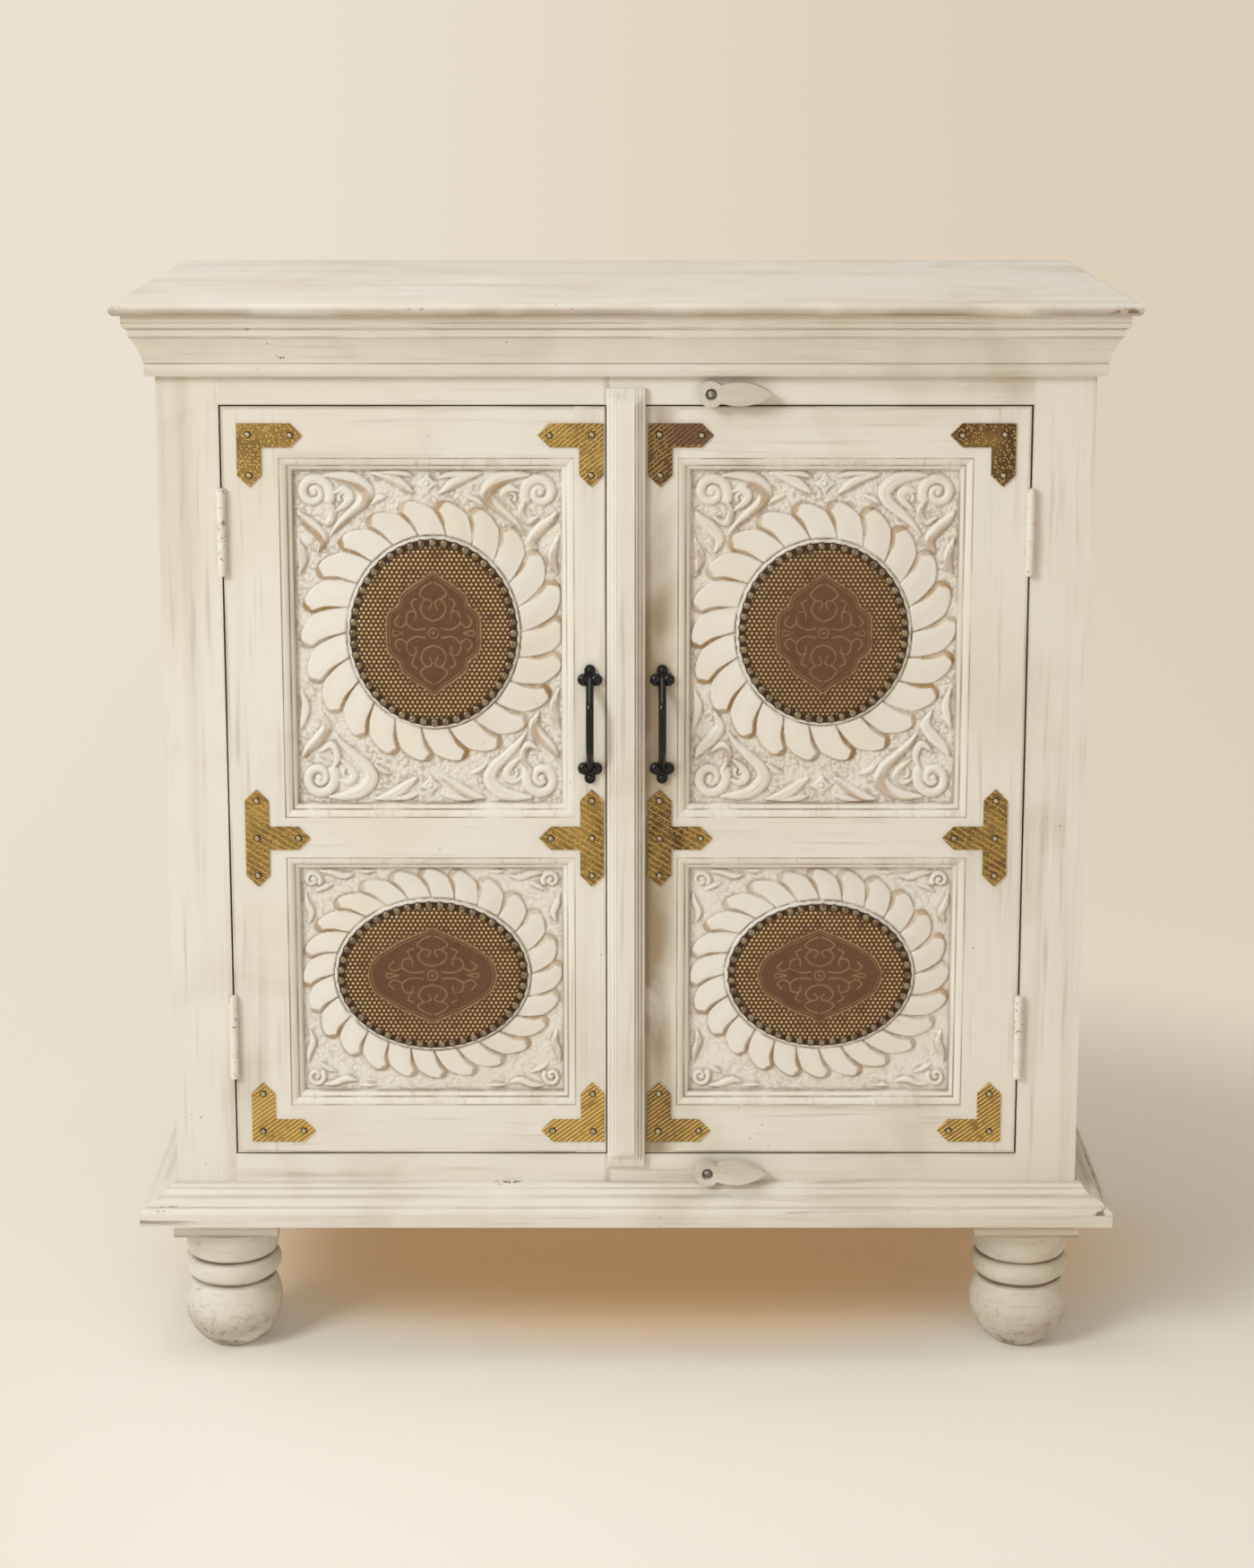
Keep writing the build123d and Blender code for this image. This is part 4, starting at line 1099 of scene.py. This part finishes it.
def beaten_dots(x, z, pitch):
    """Round dots in rows, each row shifted by half a pitch."""
    apart = pitch * math.sqrt(3) / 2
    line = np.round(z / apart)
    shifted = x / pitch - 0.5 * (line % 2)
    off = np.hypot((shifted - np.round(shifted)) * pitch, z - line * apart)
    return np.clip(1 - (off / (pitch * 0.31)) ** 2, 0.0, None) ** 0.6


def inside_cartouche(x, z, row, wide, tall):
    """How far each point lies inside the raised frame."""
    quarter = CARTOUCHES[row]
    right = [*quarter, *((a, -b) for a, b in reversed(quarter[:-1]))]
    outline = [*right, *((-a, b) for a, b in reversed(right[:-1]))]
    samples = flowing([(a * wide, b * tall, 0.0) for a, b in outline])[:, :2]
    angles = np.arctan2(samples[:, 1], samples[:, 0])
    order = np.argsort(angles)
    reach = np.hypot(*samples[order].T)
    return np.interp(np.arctan2(z, x), angles[order], reach, period=TURN) - np.hypot(x, z)


def engraving(x, z, wide, tall):
    """Thin raised scrolls, the same in every quarter, round a small ringed boss on a grained ground."""
    vines = np.full_like(x, 9.0)
    for scroll in SCROLLS:
        for vine_x, vine_z, _ in flowing([(a * wide, b * tall, 0.0) for a, b in scroll], 0.9):
            vines = np.minimum(vines, np.hypot(np.abs(x) - vine_x, np.abs(z) - vine_z))
    vines = np.clip(1 - vines**2, 0.0, None)
    middle_out = np.hypot(x, z)
    boss = hump(middle_out - 4.6, 0.6) + np.clip(1 - (middle_out / 1.9) ** 2, 0.0, None)
    waves = np.sin(x * 2.9 + np.sin(z * 1.7) * 2) * np.sin(z * 3.3 + np.sin(x * 1.3) * 2)
    return np.maximum(np.maximum(vines, boss), (waves * 0.5 + 0.5) * 0.25)


def beat_medallion(side, row, sizes, material):
    """One oval of beaten brass, in the place of its plain disc."""
    node = f"{side}_medallion_{row}"
    low, high, centre, half = extent(node)
    columns, rows = round(2 * half.x / BEATING_STEP), round(2 * half.z / BEATING_STEP)
    piece = upright_grid(columns, rows, (0.0, 0.0, 0.0), 2.0, 2.0)
    places = vertex_places(piece.data)
    # the square grid is drawn into an oval
    u, v = places[:, 0].copy(), places[:, 2].copy()
    across = u * np.sqrt(1 - v * v / 2)
    upright = v * np.sqrt(1 - u * u / 2)
    oval = np.hypot(across, upright)
    wide, tall = half.x / MM, half.z / MM
    x, z = across * wide, upright * tall
    inward = inside_cartouche(x, z, row, wide, tall)
    dots = beaten_dots(x, z, sizes.dot_pitch / MM) * (1 - smooth(inward, -0.2, 0.4))
    lines = hump(inward - 0.6, 0.55) + 0.8 * hump(inward - 3.2, 0.5)
    inner = engraving(x, z, wide, tall) * smooth(inward, 3.6, 4.6)
    relief = np.maximum(dots, np.maximum(lines, inner))
    seat = 1 - smooth(oval, 0.90, 0.94)
    beating = sizes.beating / MM
    dish = 0.55 + 0.45 * smooth(1 - oval, 0.02, 0.14)
    depth = ((high.y - low.y) / MM - beating) * dish + relief * seat * beating
    places[:, 0] = across * half.x + centre.x
    places[:, 1] = high.y - depth * MM
    places[:, 2] = upright * half.z + centre.z
    piece.data.vertices.foreach_set("co", places.ravel())
    write_attribute(piece.data, "relief", np.clip(relief, 0.0, 1.0) * seat)
    write_attribute(piece.data, "middle", smooth(inward, -9.0, 5.0))
    write_attribute(piece.data, "rim", smooth(oval, 0.885, 0.935))
    close_behind(DISC_EDGE)
    smooth_below(80)
    settle(piece, f"{side}_beaten_medallion_{row}", side, material, [node])


# ---------- round heads ----------

# radius and height in metres, and number of sides
TACK_HEAD = (0.0041, 0.0022, 12)
NAIL_HEAD = (0.0033, 0.0020, 12)
PULL_LOBE = (0.0053, 0.0032, 20)
# how far the tacks sit inside a medallion's edge, and how far the seat of their heads is before its back
TACK_INSET, TACK_SEAT = 0.0031, 0.0009
# how far the lobes of a pull stand from its middle line, from its middle height and before its back
LOBE_ACROSS, LOBE_UP, LOBE_SEAT = 0.0057, 0.041, 0.0033


def round_heads(shape, places, name, side, material, nodes):
    """Low domes at the given places, each a copy of one, joined as one piece."""
    radius, rise, sides = shape
    start_clean()
    bpy.ops.mesh.primitive_uv_sphere_add(segments=sides, ring_count=8, radius=radius)
    head = bpy.context.object
    centre = (0.0, 0.0, 0.0)
    bpy.ops.object.mode_set(mode="EDIT")
    bpy.ops.mesh.select_all(action="SELECT")
    bpy.ops.transform.rotate(value=math.pi / 2, orient_axis="X", center_override=centre)
    bpy.ops.mesh.bisect(plane_co=centre, plane_no=(0.0, 1.0, 0.0), clear_outer=True, use_fill=True)
    bpy.ops.mesh.select_all(action="SELECT")
    bpy.ops.transform.resize(value=(1.0, rise / radius, 1.0), center_override=centre)
    bpy.ops.mesh.normals_make_consistent(inside=False)
    bpy.ops.object.mode_set(mode="OBJECT")
    smooth_below(60)
    write_attribute(head.data, "crown", vertex_places(head.data)[:, 1] / -rise)
    dice = np.random.default_rng(5)
    copies = [head]
    for _ in places[1:]:
        copy = head.copy()
        copy.data = head.data.copy()
        bpy.context.collection.objects.link(copy)
        copies.append(copy)
    start_clean()
    for copy, place in zip(copies, places):
        copy.location = place
        copy.rotation_euler = (0.0, dice.uniform(0, 6.28), 0.0)
        wobble = dice.uniform(0.94, 1.0)
        copy.scale = (wobble, dice.uniform(0.86, 1.0), wobble)
        copy.select_set(True)
    bpy.context.view_layer.objects.active = head
    bpy.ops.object.join()
    settle(head, name, side, material, nodes)


def crown_places(node, rise):
    """Where the round heads of a CAD node sit, found from the tops of their domes."""
    places = vertex_places(NODES[node].data)
    front = places[:, 1].min()
    found = []
    for x, _, z in places[places[:, 1] < front + 0.00005]:
        if all(math.hypot(x - a, z - b) > 0.003 for a, _, b in found):
            found.append((x, front + rise, z))
    return found


def ring_places(node, pitch):
    """Evenly spaced places round an oval node, a little inside its edge."""
    _, high, centre, half = extent(node)
    x, z, along = oval_line(half.x - TACK_INSET, half.z - TACK_INSET)
    count = round(along[-1] / pitch)
    wanted = along[-1] * np.arange(count) / count
    return [
        (centre.x + a, high.y - TACK_SEAT, centre.z + b)
        for a, b in zip(np.interp(wanted, along, x), np.interp(wanted, along, z))
    ]


def lobe_places(node):
    """Where the four side lobes of a pull's two plates stand, on the front of the plates."""
    _, high, centre, _ = extent(node)
    return [
        (centre.x + across * LOBE_ACROSS, high.y - LOBE_SEAT, centre.z + up * LOBE_UP)
        for across in (-1, 1) for up in (-1, 1)
    ]


# ---------- operators ----------

# the paper's size on the floor, its shift towards the front, the height of its wall and its bend, in metres
PAPER, PAPER_SHIFT, PAPER_WALL, PAPER_BEND = (20.0, 18.0), 2.0, 6.0, 1.2
WORLD_TINT, WORLD_STRENGTH = (1.0, 0.90, 0.78), 0.44
# lamps: name, place, size in metres, power in watts and tint
LAMPS = (
    ("key", (-2.5, -2.5, 2.6), 1.3, 89.0, (0.91, 0.97, 1.0)),
    ("fill", (1.6, -3.2, 0.35), 2.0, 12.5, (1.0, 0.75, 0.50)),
    ("top", (-0.5, -0.5, 3.2), 1.6, 26.0, (0.95, 0.98, 1.0)),
)
LAMP_AIM = (0.0, -0.1, 0.5)
# camera: place in metres, degrees below level, focal length and sensor width in millimetres, and upward shift
CAMERA_PLACE, CAMERA_TILT = (0.0008, -2.8531, 1.2491), 10.537
CAMERA_LENS, CAMERA_SENSOR, CAMERA_SHIFT = 69.67, 36.0, -0.14


class CABINET_OT_stage(bpy.types.Operator):
    """Set up the paper, the lamps and the camera"""

    bl_idname = "cabinet.stage"
    bl_label = "Stage"

    def execute(self, context):
        self.paper_sweep(context)
        self.world(context)
        self.lamps(context)
        self.camera(context)
        return {"FINISHED"}

    def paper_sweep(self, context):
        start_clean()
        bpy.ops.mesh.primitive_plane_add(size=1.0)
        sheet = context.object
        bpy.ops.object.mode_set(mode="EDIT")
        bpy.ops.mesh.select_all(action="SELECT")
        bpy.ops.transform.resize(value=(*PAPER, 1.0), center_override=(0.0, 0.0, 0.0))
        bpy.ops.transform.translate(value=(0.0, -PAPER_SHIFT, 0.0))
        bpy.ops.mesh.select_mode(type="EDGE")
        bpy.ops.mesh.select_all(action="DESELECT")
        bpy.ops.object.mode_set(mode="OBJECT")
        for edge in sheet.data.edges:
            edge.select = all(sheet.data.vertices[v].co.y > 0.0 for v in edge.vertices)
        bpy.ops.object.mode_set(mode="EDIT")
        bpy.ops.mesh.extrude_region_move(TRANSFORM_OT_translate={"value": (0.0, 0.0, PAPER_WALL)})
        bpy.ops.object.mode_set(mode="OBJECT")
        bend = sheet.modifiers.new("Bend", "BEVEL")
        bend.width = PAPER_BEND
        bend.segments = 24
        bpy.ops.object.modifier_apply(modifier=bend.name)
        bpy.ops.object.shade_smooth()
        sheet.name = "backdrop"
        sheet.data.materials.append(paper("backdrop_paper"))

    def world(self, context):
        """Light from all round, and the distant paper's tone where the world itself is seen."""
        world = bpy.data.worlds.new("studio")
        world.use_nodes = True
        tree = world.node_tree
        light = tree.nodes["Background"]
        light.inputs["Color"].default_value = (*WORLD_TINT, 1.0)
        light.inputs["Strength"].default_value = WORLD_STRENGTH
        distance = tree.nodes.new("ShaderNodeBackground")
        distance.inputs["Color"].default_value = (*context.scene.cabinet_colours.distance, 1.0)
        rays = tree.nodes.new("ShaderNodeLightPath")
        shown = light
        for ray in SEEN_RAYS:
            both = tree.nodes.new("ShaderNodeMixShader")
            tree.links.new(rays.outputs[ray], both.inputs[0])
            tree.links.new(shown.outputs[0], both.inputs[1])
            tree.links.new(distance.outputs[0], both.inputs[2])
            shown = both
        tree.links.new(shown.outputs[0], tree.nodes["World Output"].inputs["Surface"])
        context.scene.world = world

    def lamps(self, context):
        for name, place, size, power, tint in LAMPS:
            light = bpy.data.lights.new(name, "AREA")
            light.size = size
            light.energy = power
            light.color = tint
            lamp = bpy.data.objects.new(name, light)
            lamp.location = place
            aim = Vector(LAMP_AIM) - Vector(place)
            lamp.rotation_euler = aim.to_track_quat("-Z", "Y").to_euler()
            context.collection.objects.link(lamp)

    def camera(self, context):
        lens = bpy.data.cameras.new("camera")
        lens.sensor_width = CAMERA_SENSOR
        lens.lens = CAMERA_LENS
        lens.shift_y = CAMERA_SHIFT
        camera = bpy.data.objects.new("camera", lens)
        camera.location = CAMERA_PLACE
        camera.rotation_euler = (math.radians(90 - CAMERA_TILT), 0.0, 0.0)
        context.collection.objects.link(camera)
        context.scene.camera = camera
        context.scene.view_settings.view_transform = "Standard"


class CABINET_OT_joinery(bpy.types.Operator):
    """Whitewash the boards, the frames and the mouldings, and mould the closing strip"""

    bl_idname = "cabinet.joinery"
    bl_label = "Joinery"

    def execute(self, context):
        crown_grime = groove_grime("crown_front", CROWN_GROOVES, 0.5)
        base_grime = groove_grime("base_front", BASE_GROOVES, 0.3)
        base_side_grime = groove_grime("base_front", BASE_SIDE_GROOVES, 0.3)
        uprights = [f"{part}_{side}" for part in ("face_stile", "side_panel") for side in SIDES]
        stiles = [f"{side}_stile_{part}" for side in SIDES for part in ("outer", "inner")]
        rails = [f"{side}_rail_{part}" for side in SIDES for part in ("top", "middle", "bottom")]
        feet = [f"foot_{row}_{side}" for row in ("front", "rear") for side in SIDES]
        coats = (
            ("upright", "z", door_dirt_and_strip_shade, corner_wear, strip_shade_and_yellowing, [*uprights, *stiles]),
            ("level", "x", door_dirt_and_strip_shade, corner_wear, 0.0, ["face_rail_top", "face_rail_bottom", *rails]),
            ("top", "x", top_edge_dirt_and_shade, top_wear_and_underside_shade, 0.12, ["top_board"]),
            ("crown", "x", crown_grime, crown_wear, 0.26, ["crown_front", "crown_sides"]),
            ("base", "x", base_grime, base_wear, 0.20, ["base_front"]),
            ("base_sides", "y", base_side_grime, base_wear, 0.20, ["base_sides"]),
            ("feet", "x", foot_grime, foot_wear, 0.26, ["foot_pads", *feet]),
            ("left_mouldings", "z", moulding_grime("left"), 0.18, 0.0, ["left_panel_mouldings"]),
            ("right_mouldings", "z", moulding_grime("right"), 0.18, 0.0, ["right_panel_mouldings"]),
        )
        for part, *coat, nodes in coats:
            dress(whitewash(f"whitewash_{part}", *coat), *nodes)
        mould_strip(whitewash("whitewash_strip", "z", strip_dirt_and_flank_shade, 0.20, strip_age))
        dress(
            inner_wood("inner_wood"),
            "back_panel",
            "bottom_board",
            "shelf",
            "shelf_cleats",
            "corner_blocks",
            "door_stop_batten",
        )
        return {"FINISHED"}


class CABINET_OT_panels(bpy.types.Operator):
    """Carve the four door panels"""

    bl_idname = "cabinet.panels"
    bl_label = "Carved panels"

    def execute(self, context):
        material = carved_paint("whitewash_carved")
        for side in SIDES:
            for row in ROWS:
                carve_panel(side, row, context.scene.cabinet_sizes, material)
        return {"FINISHED"}


class CABINET_OT_medallions(bpy.types.Operator):
    """Beat the four brass medallions and set their tacks"""

    bl_idname = "cabinet.medallions"
    bl_label = "Medallions"

    def execute(self, context):
        sizes = context.scene.cabinet_sizes
        brass = medallion_brass("medallion_brass")
        bronze = tack_bronze("tack_bronze", 0.08, 0.10)
        for side in SIDES:
            places = []
            for row in ROWS:
                beat_medallion(side, row, sizes, brass)
                places += ring_places(f"{side}_medallion_{row}", sizes.tack_pitch)
            tacks = [f"{side}_tacks"]
            round_heads(TACK_HEAD, places, f"{side}_tack_heads", side, bronze, tacks)
        return {"FINISHED"}


class CABINET_OT_metalwork(bpy.types.Operator):
    """Finish the brackets, nails, hinges, screws, pulls and latches"""

    bl_idname = "cabinet.metalwork"
    bl_label = "Metalwork"

    def execute(self, context):
        brass = bracket_brass("bracket_brass")
        bronze = tack_bronze("nail_bronze", 0.6, 0.35)
        iron = black_iron("black_iron")
        hinge = painted_hinge("painted_hinge")
        dress(hinge, "hinge_frame_leaves", "hinge_pins")
        dress(steel_screw("steel_screw"), "latch_screws")
        latch = whitewash("whitewash_latches", "x", 0.35, 0.36, 0.25)
        dress(latch, "latch_button_top", "latch_button_bottom")
        for side in SIDES:
            dress(brass, f"{side}_brackets")
            nails = f"{side}_bracket_nails"
            places = crown_places(nails, NAIL_HEAD[1])
            round_heads(NAIL_HEAD, places, f"{side}_nail_heads", side, bronze, [nails])
            pull = f"{side}_handle"
            dress(iron, pull, f"{side}_handle_screws")
            round_heads(PULL_LOBE, lobe_places(pull), f"{side}_pull_lobes", side, iron, [])
            dress(hinge, f"{side}_hinge_leaves")
        return {"FINISHED"}


class CABINET_PT_sidebar(bpy.types.Panel):
    """The cabinet's steps and their sizes and colours"""

    bl_idname = "CABINET_PT_sidebar"
    bl_label = "Carved cabinet"
    bl_space_type = "VIEW_3D"
    bl_region_type = "UI"
    bl_category = "Cabinet"

    def draw(self, context):
        for step in STEPS:
            self.layout.operator(step.bl_idname)
        for group in (context.scene.cabinet_sizes, context.scene.cabinet_colours):
            for name in group.bl_rna.properties.keys():
                if name not in ("rna_type", "name"):
                    self.layout.prop(group, name)


STEPS = (
    CABINET_OT_stage,
    CABINET_OT_joinery,
    CABINET_OT_panels,
    CABINET_OT_medallions,
    CABINET_OT_metalwork,
)
CLASSES = (CabinetSizes, CabinetColours, *STEPS, CABINET_PT_sidebar)


def register():
    for cls in CLASSES:
        bpy.utils.register_class(cls)
    bpy.types.Scene.cabinet_sizes = PointerProperty(type=CabinetSizes)
    bpy.types.Scene.cabinet_colours = PointerProperty(type=CabinetColours)


def unregister():
    del bpy.types.Scene.cabinet_colours
    del bpy.types.Scene.cabinet_sizes
    for cls in reversed(CLASSES):
        bpy.utils.unregister_class(cls)


def main():
    register()
    bpy.ops.cabinet.stage()
    bpy.ops.cabinet.joinery()
    bpy.ops.cabinet.panels()
    bpy.ops.cabinet.medallions()
    bpy.ops.cabinet.metalwork()


if __name__ == "__main__":
    main()
